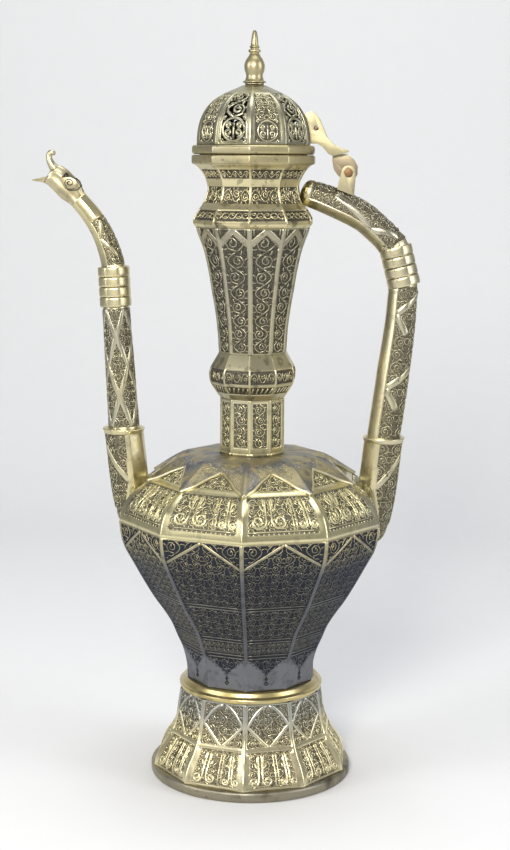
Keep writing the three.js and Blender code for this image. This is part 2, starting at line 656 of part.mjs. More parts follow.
// Lug on the handle's back, slotted for the strap's knuckle
const ear = Array.from({ length: lugEarSteps + 1 }, (_, k) => {
  const turn = k / lugEarSteps * Math.PI;
  return spot(hingeX + lugEarRadius * Math.cos(turn), hingeZ + lugEarRadius * Math.sin(turn));
});
const lugFoot = handleEnd.z - handleEndHalf;
const lugOutline = [...ear, spot(hingeX - lugFootLeft, lugFoot), spot(hingeX + lugFootRight, lugFoot)];
const knuckleSlot = box(hingeX - strapReach, hingeX + strapReach, -knuckleThickness / 2 - gap,
  knuckleThickness / 2 + gap, hingeZ - knuckleSweep, hingeZ + strapRise);
const bendClear = bend.map((place) => station(place.x, place.z, place.y + gap));
const handleCutter = skin(solidTube(bendClear, null, ringDown));
add(vessel, "hinge_lug", cut(plate(lugOutline, lugWidth), knuckleSlot, handleCutter,
  bar(hingeX, hingeZ, hingeBore, lugWidth + overrun)), ivorySilver);

// Spout
const spoutFoot = station(spoutMouth.x, spoutMouth.z, spoutHalfFoot);
const boreHalf = spoutHalfFoot - sheet;
const boreIn = smooth([station(spoutMouth.x, spoutMouth.z, boreHalf),
  ...socketStations(spoutMouth).map((place) => station(place.x, place.z, boreHalf)),
], socketSteps).slice(0, -1);
const spoutBore = skin(solidTube(boreIn, down, null));
add(vessel, "spout_socket", socket(spoutMouth, spoutHalfFoot + gap, spoutBore), chasedSilver);
add(vessel, "body_shoulder", cut(raised(shoulderOutline, [true, false]), spoutBore), chasedSilver);

const spoutRingFoot = station(spoutMouth.x - spoutLean, spoutMouth.z + spoutRise, spoutCollarHalf);
const spoutRingTop = station(spoutRingFoot.x - spoutCollarLean, spoutRingFoot.z + spoutCollarLength,
  spoutCollarHalf);
const spoutUp = towards(spoutRingFoot, spoutRingTop);
const up = spot(0, 1);
const spoutSpigot = spoutCollarHalf - ringWall - gap;
const spoutMiddle = middleOf(spoutRingFoot, spoutRingTop);
const lowerWay = [
  station(spoutMouth.x, spoutMouth.z - socketCup + gap, spoutHalfFoot), spoutFoot,
  ...spoutWayShares.map((share) => station(spoutFoot.x + (spoutRingFoot.x - spoutFoot.x) * share,
    spoutFoot.z + spoutRise * share, spoutHalfFoot + (spoutHalfTop - spoutHalfFoot) * share)),
  station(spoutRingFoot.x, spoutRingFoot.z - gap, spoutHalfTop),
  station(spoutRingFoot.x, spoutRingFoot.z - gap + gap / 2, spoutSpigot),
  station(spoutMiddle.x, spoutMiddle.z - gap / 2, spoutSpigot),
];
add(vessel, "spout_lower", hollowTube(lowerWay, sheet, up, spoutUp), chasedSilver);
ringCollar("spout_ring", spoutRingTop, spoutRingFoot, spoutCollarHalf);
const throat = station(spoutRingTop.x - spoutNeckReach, spoutRingTop.z + spoutNeckRise, spoutThroatHalf);
const neckWay = smooth([
  station(spoutMiddle.x, spoutMiddle.z + gap / 2, spoutNeckHalf),
  station(spoutRingTop.x, spoutRingTop.z, spoutNeckHalf),
  ...spoutNeckShares.map(([reach, rise]) => station(spoutRingTop.x - spoutNeckReach * reach,
    spoutRingTop.z + spoutNeckRise * rise,
    spoutNeckHalf + (spoutThroatHalf - spoutNeckHalf) * rise)),
  throat,
], spoutNeckSteps);
add(vessel, "spout_upper", hollowTube(neckWay, sheet, spoutUp, null), chasedSilver);

// Bird's head: swelling skull, open beak and the bore that pours between them
const throatAlong = headings(neckWay).at(-1);
const headFoot = station(throat.x + throatAlong.x * gap, throat.z + throatAlong.y * gap,
  spoutThroatHalf);
const headWay = headStations.map(([reach, rise, depth]) =>
  station(headFoot.x - headLength * reach, headFoot.z + headRise * rise, spoutThroatHalf * depth));
const headAlong = headings([headFoot, ...headWay], throatAlong, spot(-1, 0));
const headRings = [headFoot, ...headWay].map((place, i) => section(place, headAlong[i], place.y,
  TUBE_SIDES + 2, i ? headStations[i - 1][3] / headStations[i - 1][2] : 1));
const boreWay = smooth([
  station(headFoot.x - throatAlong.x * overrun, headFoot.z - throatAlong.y * overrun, headBoreRadius),
  ...headBoreShares.map(([reach, rise]) =>
    station(headFoot.x - headLength * reach, headFoot.z + headRise * rise, headBoreRadius)),
], headBoreSteps);
add(vessel, "spout_head", cut(skin(headRings), skin(solidTube(boreWay))), brightSilver);

const crestWay = smooth(crestStations.map(([reach, rise, half]) => station(
  headFoot.x - headLength * reach, headFoot.z + headRise * rise, crestThickness * half)), crestSteps);
const headPlug = skin([headFoot, ...headWay].map((place, i) => section(place, headAlong[i],
  place.y + gap, TUBE_SIDES + 2, i ? headStations[i - 1][3] / headStations[i - 1][2] : 1)));
add(vessel, "spout_crest", cut(skin(solidTube(crestWay)), headPlug), brightSilver);

const bossX = headFoot.x - headLength * bossShares[0];
const bossZ = headFoot.z + headRise * bossShares[1];
for (const [name, side] of [["head_boss_front", -1], ["head_boss_back", 1]]) {
  const boss = new THREE.CylinderGeometry(1, 1, 2 * bossThickness, ROUND_SIDES)
    .scale(bossLength, 1, bossWidth).rotateY(bossTilt)
    .translate(bossX, side * spoutThroatHalf * bossSeatShare, bossZ);
  add(vessel, name, cut(boss, headPlug), brightSilver);
}

// Origin: under the middle of the ewer's reach along X
const reach = new THREE.Box3().setFromObject(ewer);
ewer.position.x = -(reach.min.x + reach.max.x) / 2;

export default ewer;
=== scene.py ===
# %% [markdown]
# A tall silver water ewer, chased and gilded: ten facets from foot to dome, a spout that ends in a
# bird's head, a handle like it, and a lid on a hinge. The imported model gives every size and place.
# This lesson dresses it. Each shell is raised again with soft ribs, ornament is chased over it as
# real relief, and every finish is a procedural silver.

# %% Frame and tools
import math

import bmesh
import bpy
import numpy as np
from mathutils import Matrix, Vector


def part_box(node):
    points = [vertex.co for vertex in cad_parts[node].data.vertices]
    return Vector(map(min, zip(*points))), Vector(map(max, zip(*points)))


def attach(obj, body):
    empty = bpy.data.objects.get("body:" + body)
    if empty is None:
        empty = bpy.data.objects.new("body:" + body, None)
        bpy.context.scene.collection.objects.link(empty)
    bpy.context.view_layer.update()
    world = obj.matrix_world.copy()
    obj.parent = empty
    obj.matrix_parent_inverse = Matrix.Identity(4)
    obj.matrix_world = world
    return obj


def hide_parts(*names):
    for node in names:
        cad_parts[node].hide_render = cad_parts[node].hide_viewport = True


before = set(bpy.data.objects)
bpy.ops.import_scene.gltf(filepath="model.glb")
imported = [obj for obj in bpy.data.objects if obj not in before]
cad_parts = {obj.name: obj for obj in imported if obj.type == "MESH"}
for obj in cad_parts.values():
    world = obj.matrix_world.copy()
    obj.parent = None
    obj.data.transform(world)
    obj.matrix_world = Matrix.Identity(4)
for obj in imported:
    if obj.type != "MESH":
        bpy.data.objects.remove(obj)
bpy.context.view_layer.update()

MM = 0.001
SIDES = 10
HALF_TURN = math.pi / SIDES  # from a facet's middle to its rib
VESSEL, LID = "vessel", "lid"
ALL = range(SIDES)


def box_of(node):
    """A node's lowest and highest corners, in millimetres"""
    low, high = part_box(node)
    return np.array(low) / MM, np.array(high) / MM


def added(name, data):
    """A new object in the scene"""
    made = bpy.data.objects.new(name, data)
    bpy.context.scene.collection.objects.link(made)
    return made


AXIS = float(np.mean([corner[0] for corner in box_of("foot_rim")]))  # X of the vessel's axis

# %% [markdown]
# Silver has one colour but many states. Where fingers and cloths rub it stays bright and shows its
# gilding, and in the chased ground it blackens. So one recipe mixes three colours: the ground, the
# silver and the gilding. Two small classes let the recipe, and the ornament's trees further down, be
# written as sums.

# %% Node trees written as sums
class Socket:
    """A value in a node tree that adds Math nodes when it is used in a sum"""

    def __init__(self, tree, socket):
        self.tree, self.socket = tree, socket

    def math(self, operation, *values, clamp=False):
        return self.tree.node("ShaderNodeMath", {"operation": operation, "use_clamp": clamp}, *values)

    def __add__(self, other):
        return self.math("ADD", self, other)

    def __sub__(self, other):
        return self.math("SUBTRACT", self, other)

    def __rsub__(self, other):
        return self.math("SUBTRACT", other, self)

    def __mul__(self, other):
        return self.math("MULTIPLY", self, other)

    def __truediv__(self, other):
        return self.math("DIVIDE", self, other)

    def clamped(self):
        return self.math("ADD", self, 0.0, clamp=True)

    def between(self, low, high):
        """0 below low, 1 above high, smooth in the middle"""
        return self.tree.node("ShaderNodeMapRange", {"interpolation_type": "SMOOTHSTEP"},
                              self, low, high, 0.0, 1.0)


class Tree:
    """A node tree under construction"""

    def __init__(self, tree):
        self.tree = tree

    def node(self, kind, settings=None, *values, output=0, **named):
        """A new node with its settings, fed by the place or the name of its inputs"""
        made = self.tree.nodes.new(kind)
        for key, value in (settings or {}).items():
            setattr(made, key, value)
        for target, value in zip(made.inputs, values):
            self.feed(target, value)
        self.feed_named(made, named)
        return Socket(self, made.outputs[output])

    def feed(self, target, value):
        if isinstance(value, Socket):
            self.tree.links.new(value.socket, target)
        else:
            target.default_value = value

    def feed_named(self, made, named):
        for key, value in named.items():
            self.feed(made.inputs[key.replace("_", " ")], value)


class Recipe(Tree):
    """A material under construction"""

    def __init__(self, name):
        self.material = bpy.data.materials.new(name)
        self.material.use_nodes = True
        super().__init__(self.material.node_tree)
        self.place = self.node("ShaderNodeTexCoord", output="Object")

    def noise(self, scale, detail=4.0, stretch=(1, 1, 1)):
        place = self.node("ShaderNodeMapping", {}, self.place, Scale=stretch)
        return self.node("ShaderNodeTexNoise", {}, place, Scale=scale, Detail=detail, Roughness=0.55)

    def mix(self, share, first, second):
        """Colours blended by a share"""
        made = self.tree.nodes.new("ShaderNodeMix")
        made.data_type = "RGBA"
        for target, value in ((0, share), (6, first), (7, second)):
            self.feed(made.inputs[target], (*value, 1.0) if isinstance(value, tuple) else value)
        return Socket(self, made.outputs[2])

    def zoned(self, base, zones, ragged=0.0):
        """Turns a base to other colours. Zones are (colour, from, to), with heights in metres"""
        for colour, start, full in zones:
            height = self.node("ShaderNodeSeparateXYZ", {}, self.place, output="Z")
            share = (height - start) / (full - start) + ragged
            base = self.mix(share.clamped(), base, colour)
        return base

    def finished(self, **inputs):
        """The material, once its shader is fed"""
        self.feed_named(self.tree.nodes["Principled BSDF"], inputs)
        return self.material

    def metal(self, colour, rough, bumps, strength):
        """The material as metal, with bumps of up to 0.2 mm"""
        normal = self.node("ShaderNodeBump", output="Normal", Height=bumps, Strength=strength,
                           Distance=0.2 * MM)
        return self.finished(Base_Color=colour, Roughness=rough, Metallic=1.0, Normal=normal)


# %% [markdown]
# The chased pieces carry a number on each point, "relief": 0 in the ground, 1 on top of a line.
# The same recipe then serves a whole shell. Tarnish gathers low in the relief and in broad clouds.
# The belly is darker and bluer than the foot and the shoulder: painted shade and painted blue reflection.

# %% Finishes
GROUND = (0.05, 0.045, 0.032)
SILVER = (0.5, 0.48, 0.38)
GILT = (0.66, 0.6, 0.36)


def chased_silver(name, ground=GROUND, line=GILT, worn=SILVER, tarnish=0.35, shine=0.3, zones=(),
                  spread=9.0):
    """Relief over a blackened ground, with patches of wear between two colours of line, which are
    smaller for a larger spread. In the zones the line's colour turns to theirs"""
    recipe = Recipe(name)
    relief = recipe.node("ShaderNodeAttribute", {"attribute_name": "relief"}, output="Fac")
    clouds = recipe.noise(38.0, detail=5.0)
    patches = recipe.noise(spread, detail=3.0)
    grain = recipe.noise(900.0, detail=2.0)
    punched = recipe.node("ShaderNodeTexVoronoi", {"feature": "DISTANCE_TO_EDGE"},
                          recipe.place, Scale=1150.0)
    raised = (relief + (clouds - 0.5) * 0.3).between(0.15, 0.75)
    gilded = recipe.zoned(recipe.mix(patches.between(0.42, 0.62), line, worn), zones, (clouds - 0.5) * 0.5)
    specks = recipe.noise(210.0).between(0.54, 0.64)
    bright = recipe.mix(((clouds.between(0.5, 0.78) + specks * 0.6) * tarnish).clamped(), gilded, ground)
    stipple = recipe.mix((punched * 5.0).clamped() * 0.35, ground, worn)
    rough = 0.62 - raised * (0.62 - shine) + (grain - 0.5) * 0.12
    bumps = punched * (1.0 - raised) + grain * 0.25 + clouds * 0.6
    return recipe.metal(recipe.mix(raised, stipple, bright), rough, bumps, 0.35)


def plain_silver(name, colour, worn, shine, soil=0.3, dirt=GROUND, zones=()):
    """Smooth metal with clouds of wear, fine scratches and dark specks, and zones as above"""
    recipe = Recipe(name)
    clouds = recipe.noise(45.0, detail=5.0)
    patches = recipe.noise(14.0, detail=3.0)
    specks = recipe.noise(420.0, detail=3.0)
    scratches = recipe.noise(260.0, detail=6.0, stretch=(1, 1, 9))
    base = recipe.zoned(recipe.mix(patches.between(0.4, 0.66), colour, worn), zones)
    soiled = (specks.between(0.6, 0.72) * 0.5 + clouds.between(0.52, 0.68)) * soil
    rough = clouds * 0.14 + shine + (scratches - 0.5) * 0.1
    bumps = clouds * 0.8 + scratches * 0.3
    return recipe.metal(recipe.mix(soiled.clamped(), base, dirt), rough, bumps, 0.3)


NECK_GROUND = (0.03, 0.028, 0.022)
NECK_WORN = (0.36, 0.34, 0.26)
TUBE_DARK = (0.04, 0.036, 0.026)
# The belly is darker and bluer than the other shells: painted shade and a painted blue reflection.
BELLY_BLUE_REFLECTION_GROUND = (0.024, 0.026, 0.032)
# Its zones turn the lines gilt under the widest ring, and blue-grey at the bottom: more painted blue
# reflection.
BELLY_GILT_AND_BLUE_REFLECTION_ZONES = (((0.18, 0.185, 0.2), 0.0695, 0.0665), ((0.48, 0.43, 0.26), 0.116, 0.136))

# ground, line, worn line, tarnish, shine
pale_chased = chased_silver("pale chased silver", tarnish=0.4, shine=0.32)
foot_chased = chased_silver("foot chased silver", (0.035, 0.033, 0.03), (0.92, 0.82, 0.48),
                            (0.72, 0.65, 0.42), 0.25, zones=(((0.43, 0.43, 0.38), 0.026, 0.038),))
shoulder_chased = chased_silver("shoulder chased silver", GROUND, (0.7, 0.64, 0.38), (0.54, 0.52, 0.4), 0.3)
dome_chased = chased_silver("dome chased silver", GROUND, (0.44, 0.41, 0.25), (0.38, 0.37, 0.29), 0.5, 0.36)
grey_chased = chased_silver("grey chased silver", NECK_GROUND, (0.5, 0.455, 0.29), NECK_WORN, 0.55, 0.36)
collar_chased = chased_silver("collar chased silver", NECK_GROUND, (0.58, 0.52, 0.31), NECK_WORN,
                              0.75, 0.34, (((0.66, 0.59, 0.36), 0.27, 0.28),))
# The belly's lines and worn silver are dark and bluish: painted shade and painted blue reflection.
belly_chased_blue_reflection = chased_silver("belly chased silver", BELLY_BLUE_REFLECTION_GROUND, (0.185, 0.18, 0.155),
                             (0.115, 0.125, 0.155), 0.5, 0.4, BELLY_GILT_AND_BLUE_REFLECTION_ZONES)
# Dimmer still, for the belly's sheet: painted shade and painted blue reflection.
belly_painted_shade_and_reflection = chased_silver("belly dim silver", BELLY_BLUE_REFLECTION_GROUND, (0.14, 0.145, 0.16), (0.1, 0.11, 0.145),
                          0.5, 0.42, BELLY_GILT_AND_BLUE_REFLECTION_ZONES)
star_silver = chased_silver("spotted grey silver", (0.1, 0.09, 0.065), (0.6, 0.52, 0.3),
                            (0.3, 0.31, 0.32), 0.8, 0.38, spread=95.0)
tube_silver = chased_silver("gilt tube", TUBE_DARK, (0.68, 0.61, 0.36), (0.58, 0.53, 0.36))
tube_chased = chased_silver("chased tube", TUBE_DARK, (0.58, 0.53, 0.34), (0.46, 0.44, 0.34), 0.45, 0.34)

# colour, worn colour, shine, soil
gilt_bright = plain_silver("bright gilt silver", (0.7, 0.63, 0.38), (0.6, 0.55, 0.38), 0.26)
ledge_gilt = plain_silver("gilt of the ledge", (0.64, 0.53, 0.24), (0.5, 0.46, 0.3), 0.25, 0.5)
gilt_worn = plain_silver("worn gilt silver", (0.5, 0.44, 0.25), (0.4, 0.36, 0.24), 0.34, 0.9)
foot_dull = plain_silver("dull foot silver", (0.36, 0.32, 0.22), (0.3, 0.28, 0.22), 0.38, 0.8)
head_gilt = plain_silver("gilt of the head", (0.62, 0.55, 0.34), (0.56, 0.5, 0.32), 0.28, 0.5)
# Near-black silver: inside the foot and the dome, and on the floor, skirt and washer within, it is painted
# shade; on the head and the belly it draws dark marks.
dark_marks_and_inner_shade = plain_silver("dark inner silver", (0.05, 0.047, 0.04), (0.035, 0.035, 0.035), 0.55)
# Its zone darkens the knuckle below the thumbpiece's leaf to brown: painted shade.
cream = plain_silver("cream cast silver", (0.42, 0.385, 0.24), (0.36, 0.33, 0.22), 0.44, 0.4,
                     (0.16, 0.12, 0.08), zones=(((0.28, 0.235, 0.165), 0.3215, 0.3175),))
ivory = plain_silver("pale cast silver", (0.35, 0.32, 0.21), (0.3, 0.27, 0.18), 0.45, 0.7,
                     (0.1, 0.07, 0.045))
copper = plain_silver("brown copper", (0.2, 0.12, 0.06), (0.17, 0.1, 0.06), 0.42, dirt=(0.06, 0.04, 0.03))

# %% [markdown]
# Every chased piece is a mesh made from arrays, so one helper turns points, faces and the relief
# number into an object that rides on its body and stands for its CAD nodes. Others join its faces
# into a grid, give it a thickness or soft edges, and turn its faces outwards.

# %% Meshes from arrays
JOINED = 1e-6  # metres within which two points of a closed piece are one


def finish_piece(piece, body, replaces):
    """Smooth faces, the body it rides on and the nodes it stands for"""
    piece.data.polygons.foreach_set("use_smooth", [True] * len(piece.data.polygons))
    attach(piece, body)
    if replaces:
        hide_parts(*replaces)


def mesh_object(name, points, faces, material, body=VESSEL, replaces=(), relief=None):
    """An object with its place in its mesh; points are in millimetres"""
    mesh = bpy.data.meshes.new(name)
    mesh.from_pydata((np.asarray(points, dtype=float) * MM).tolist(), [], faces)
    mesh.update()
    if relief is not None:
        layer = mesh.attributes.new("relief", "FLOAT", "POINT")
        layer.data.foreach_set("value", np.asarray(relief, dtype=np.float32))
    mesh.materials.append(material)
    piece = added(name, mesh)
    finish_piece(piece, body, replaces)
    print(name, len(faces), "faces")
    return piece


def grid_faces(rows, wide, loop=False, ring=False):
    """Faces of a grid with so many points in a row. Rows may close in a ring, and the last row may
    join the first in a loop"""
    return [(row * wide + k, row * wide + (k + 1) % wide, (row + 1) % rows * wide + (k + 1) % wide,
             (row + 1) % rows * wide + k)
            for row in range(rows if loop else rows - 1) for k in range(wide if ring else wide - 1)]


def modified(piece, **modifiers):
    """Turns a piece into the plain mesh that its modifiers make of it"""
    for kind, settings in modifiers.items():
        modifier = piece.modifiers.new(kind.lower(), kind)
        for key, value in settings.items():
            setattr(modifier, key, value)
    graph = bpy.context.evaluated_depsgraph_get()
    plain = bpy.data.meshes.new_from_object(piece.evaluated_get(graph))
    piece.modifiers.clear()
    piece.data = plain
    print(piece.name, len(plain.polygons), "faces once modified")


def soft_edges(piece, width, sharp=20):
    """Rounds the edges where faces meet at more than so many degrees"""
    modified(piece, BEVEL={"width": width * MM, "segments": 3, "limit_method": "ANGLE",
                           "angle_limit": math.radians(sharp)})


def outwards(mesh, join=0.0):
    """Turns a mesh's faces outwards, once its points within a distance are joined"""
    whole = bmesh.new()
    whole.from_mesh(mesh)
    if join:
        bmesh.ops.remove_doubles(whole, verts=whole.verts, dist=join)
        bmesh.ops.dissolve_degenerate(whole, edges=whole.edges, dist=join / 10)
    bmesh.ops.recalc_face_normals(whole, faces=whole.faces)
    whole.to_mesh(mesh)
    whole.free()


# %% [markdown]
# The outline of each shell comes from the frame. A rib of every shell faces the viewer, so the
# points of a CAD node on that rib are its outline, and the outer ones are those with no other
# point a sheet's thickness outside them. A smooth line through them gives the raised silver.

# %% Outlines from the frame
SHEET = 1.2  # millimetres of silver
NEAR = 1e-5  # metres from the rib's plane


def rib_outline(node):
    """Radius and height, in millimetres, of a shell's outer outline, from its foot upwards"""
    spots = set()
    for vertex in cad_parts[node].data.vertices:
        if abs(vertex.co.x - AXIS * MM) < NEAR and vertex.co.y < 0:
            spots.add((round(-vertex.co.y / MM, 2), round(vertex.co.z / MM, 2)))

    def outside(a, b):
        return a != b and math.dist(a, b) < SHEET * 1.06 and b[0] + b[1] * 0.01 > a[0] + a[1] * 0.01

    outer = [a for a in spots if not any(outside(a, b) for b in spots)]
    return np.array(sorted(outer, key=lambda a: (a[1], -a[0])))


def step_lengths(points):
    return np.linalg.norm(np.diff(points, axis=0), axis=1)


def summed(steps):
    """Distances from the start to the end of each step, from zero"""
    return np.concatenate([[0], np.cumsum(steps)])


def smooth_line(points, count):
    """Catmull-Rom line through points, resampled to even steps"""
    points = np.asarray(points, dtype=float)
    padded = np.vstack([2 * points[0] - points[1], points, 2 * points[-1] - points[-2]])
    fine = []
    for a, b, c, d in zip(padded, padded[1:], padded[2:], padded[3:]):
        t = np.linspace(0, 1, 12, endpoint=False)[:, None]
        fine.append(0.5 * (2 * b + (c - a) * t + (2 * a - 5 * b + 4 * c - d) * t ** 2
                           + (3 * b - a - 3 * c + d) * t ** 3))
    fine = np.vstack([*fine, points[-1:]])
    way = summed(step_lengths(fine))
    even = np.linspace(0, way[-1], count)
    return np.column_stack([np.interp(even, way, column) for column in fine.T])


class Surface:
    """A faceted surface over a CAD node. A place on it is a facet, x from -1 to 1 across it, and way,
    counted in half facet widths from its start, so that a circle drawn there stays round"""

    def measure(self, node, half, steps):
        """Half widths at its rows, in millimetres, and the steps between the rows"""
        self.node, self.half = node, half
        self.way = summed(steps / ((half[1:] + half[:-1]) / 2))
        self.end = self.way[-1]

    def here(self, way, *columns):
        """Values given for each row, at a way"""
        return [np.interp(way, self.way, column) for column in columns]

    def unit(self, way):
        """Half the facet's width there, in millimetres"""
        return np.interp(way, self.way, self.half)


class Shell(Surface):
    """A ten-sided surface round the vessel's axis"""

    sides = SIDES

    def __init__(self, node, reach=0.0, count=160):
        points = rib_outline(node)
        self.radius, self.height = smooth_line(points[points[:, 0] > reach], count).T
        self.apothem = self.radius * math.cos(HALF_TURN)
        steps = np.hypot(np.diff(self.radius) * math.cos(HALF_TURN), np.diff(self.height))
        self.measure(node, self.radius * math.sin(HALF_TURN), steps)
        self.out = np.column_stack([np.gradient(self.height), -np.gradient(self.apothem)])
        self.out /= np.linalg.norm(self.out, axis=1)[:, None]

    def at(self, *heights):
        """Ways to heights in millimetres"""
        ways = [float(np.interp(height, self.height, self.way)) for height in heights]
        return ways if len(ways) > 1 else ways[0]

    def place(self, facet, x, way, lift):
        """Points in millimetres, lifted square to the facet and mitred at its ribs"""
        turn = -math.pi / 2 + (2 * facet + 1) * HALF_TURN
        apothem, height, out, up = self.here(way, self.apothem, self.height, *self.out.T)
        apothem = apothem + lift * out
        across = x * apothem * math.tan(HALF_TURN)
        return np.column_stack([AXIS + apothem * math.cos(turn) - across * math.sin(turn),
                                apothem * math.sin(turn) + across * math.cos(turn), height + lift * up])


# %% [markdown]
# A shell is raised again as one sheet: each facet a grid whose outer columns swell into a soft rib,
# and Solidify gives the sheet its thickness. Its ground lies half a millimetre under the CAD face,
# which leaves room for the ornament inside the real size.

# %% Raised shells
RELIEF = 0.5  # depth of the chased ground
RIB = ((0.0, -0.02), (0.5, 0.0), (1.0, -0.02), (1.35, -0.3), (1.6, -RELIEF))


def sheet(name, surface, rows_of, material, thick, node=None, body=VESSEL, slot="chased_silver",
          is_open=None, lining=None):
    """A sheet over every facet. rows_of gives a facet's rows, each with arrays of x, way, lift and
    relief, is_open says of a facet, x and way where it has no face, and lining finishes its inside"""
    points, relief, faces = [], [], []
    for facet in range(surface.sides):
        rows = rows_of(facet)
        wide, first = len(rows[0][0]), len(relief)
        for x, way, lift, shade in rows:
            points.append(surface.place(facet, x, way, lift))
            relief.extend(shade)
        xs, ways = (np.concatenate([row[k] for row in rows]) for k in (0, 1))
        for a, b, c, d in grid_faces(len(rows), wide):
            if not (is_open and is_open(facet, (xs[a] + xs[b]) / 2, (ways[a] + ways[d]) / 2)):
                faces.append((first + a, first + b, first + c, first + d))
    piece = mesh_object(name, np.vstack(points), faces, material, body, (node or surface.node,),
                        relief)
    if lining:
        piece.data.materials.append(lining)
    modified(piece, WELD={"merge_threshold": 0.02 * MM},
             SOLIDIFY={"thickness": thick * MM, "offset": -1.0, "material_offset": 1 if lining else 0})


def columns(half, edge, inner):
    """Column places from -1 to 1 for a facet of that half width; edge has (distance, lift) pairs"""
    side = [1 - min(place / half, 0.45 * place / edge[-1][0]) for place, _ in edge]
    middle = np.linspace(-side[-1], side[-1], inner)[1:-1]
    return np.array([*(-x for x in side), *middle, *side[::-1]])


def raise_shell(name, surface, rows, material, field=None, edge=RIB, inner=9, thick=SHEET - RELIEF,
                plain=-0.06, ground=-RELIEF, **finish):
    """Facets with soft ribs, plain but for their chased fields. field says of facet, x and way
    where the sheet is beaten down to its ground"""
    side = [lift for _, lift in edge]
    chased = np.array([*side, *[ground] * (inner - 2), *side[::-1]])

    def rows_of(facet):
        made = []
        for way in np.linspace(0, surface.end, rows):
            x = columns(surface.unit(way), edge, inner)
            low = field(facet, x, way) if field else True
            lift = np.where(low, chased, np.maximum(chased, plain))
            made.append((x, np.full(len(x), way), lift, np.clip(1 - lift / ground, 0, 1)))
        return made

    sheet(name, surface, rows_of, material, thick, **finish)


# %% [markdown]
# Chasing is a line with a width. Geometry Nodes sweeps one low profile along every drawn line, with
# its width and height as named inputs, and realises the result. A second tree first sets a sprig
# along a row, each one mirrored to the last, which turns one scroll into a running vine.

# %% Geometry Nodes: chased lines and vines
class Nodes(Tree):
    """A geometry tree under construction, with named inputs"""

    def __init__(self, name, **inputs):
        super().__init__(bpy.data.node_groups.new(name, "GeometryNodeTree"))
        self.tree.interface.new_socket("Geometry", in_out="OUTPUT", socket_type="NodeSocketGeometry")
        self.names = {}
        for key, kind in {**inputs, "Width": "Float", "Depth": "Float", "Finish": "Material"}.items():
            made = self.tree.interface.new_socket(key, in_out="INPUT", socket_type="NodeSocket" + kind)
            self.names[key] = made.identifier
        given = self.tree.nodes.new("NodeGroupInput").outputs
        self.inputs = {key: Socket(self, given[key]) for key in self.names}
        self.width, self.depth = self.inputs["Width"], self.inputs["Depth"]

    def drawing(self, key):
        return self.node("GeometryNodeObjectInfo", output="Geometry", Object=self.inputs[key])

    def flat_profile(self):
        """A low band with sloping sides"""
        return self.node("GeometryNodeCurvePrimitiveQuadrilateral", {"mode": "TRAPEZOID"}, Offset=0.0,
                         Bottom_Width=self.width * 0.6, Top_Width=self.width, Height=self.depth)

    def ridge_profile(self):
        """A three-sided ridge"""
        circle = self.node("GeometryNodeCurvePrimitiveCircle", {"mode": "RADIUS"}, Resolution=3, Radius=1.0)
        upright = self.node("GeometryNodeTransform", Geometry=circle, Rotation=(0.0, 0.0, -math.pi / 2))
        size = self.node("ShaderNodeCombineXYZ", X=self.width * 0.58, Y=self.depth * 0.67, Z=1.0)
        return self.node("GeometryNodeTransform", Geometry=upright, Scale=size)

    def sweep(self, curve, profile):
        """The profile swept along a curve, with the material set and everything realised"""
        upright = self.node("GeometryNodeSetCurveNormal", {"mode": "Z_UP"}, Curve=curve)
        mesh = self.node("GeometryNodeCurveToMesh", Curve=upright, Profile_Curve=profile, Fill_Caps=True)
        painted = self.node("GeometryNodeSetMaterial", Geometry=mesh, Material=self.inputs["Finish"])
        real = self.node("GeometryNodeRealizeInstances", Geometry=painted)
        self.feed(self.tree.nodes.new("NodeGroupOutput").inputs[0], real)


line_nodes = Nodes("chased lines", Lines="Object")
line_nodes.sweep(line_nodes.drawing("Lines"), line_nodes.flat_profile())

vine_nodes = Nodes("running vine", Sprig="Object", Count="Int", Pitch="Float")
step = vine_nodes.node("ShaderNodeCombineXYZ", Y=vine_nodes.inputs["Pitch"])
stops = vine_nodes.node("GeometryNodeMeshLine", Count=vine_nodes.inputs["Count"], Offset=step)
index = vine_nodes.node("GeometryNodeInputIndex")
hand = 1.0 - index.math("MODULO", index, 2.0) * 2.0
mirror = vine_nodes.node("ShaderNodeCombineXYZ", X=hand, Y=1.0, Z=1.0)
row = vine_nodes.node("GeometryNodeInstanceOnPoints", Points=stops, Instance=vine_nodes.drawing("Sprig"),
                      Scale=mirror)
vine_nodes.sweep(vine_nodes.node("GeometryNodeRealizeInstances", Geometry=row), vine_nodes.ridge_profile())


def evaluated(nodes, **values):
    """Points and faces of a tree's result, in the flat"""
    carrier = added("carrier", bpy.data.meshes.new("carrier"))
    modifier = carrier.modifiers.new("nodes", "NODES")
    modifier.node_group = nodes.tree
    for key, value in values.items():
        modifier[nodes.names[key]] = value
    graph = bpy.context.evaluated_depsgraph_get()
    mesh = bpy.data.meshes.new_from_object(carrier.evaluated_get(graph))
    outwards(mesh)
    points = np.empty(len(mesh.vertices) * 3)
    mesh.vertices.foreach_get("co", points)
    faces = [tuple(polygon.vertices) for polygon in mesh.polygons]
    bpy.data.objects.remove(carrier)
    bpy.data.meshes.remove(mesh)
    return points.reshape(-1, 3), faces


def drawn(name, strokes):
    """A curve object from strokes: arrays of (x, y, thickness)"""
    curve = bpy.data.curves.new(name, "CURVE")
    curve.dimensions = "3D"
    for x, y, thick in (one.T for one in strokes):
        spline = curve.splines.new("POLY")
        spline.points.add(len(x) - 1)
        spline.points.foreach_set("co", stroke(x, y, 0.0, 1.0).ravel())
        spline.points.foreach_set("radius", thick)
    return added(name, curve)


# %% [markdown]
# The ornament is drawn from a few strokes, as an engraver draws it: a spiral that ends in a bud, a
# leaf that swells and tapers, a straight line. A sprig is one cell of a running vine: a stem that
# swings to one side, a scroll that fills the other, and leaves in the corners.

# %% Strokes
PITCH = 1.5  # length of a sprig whose half width is 1


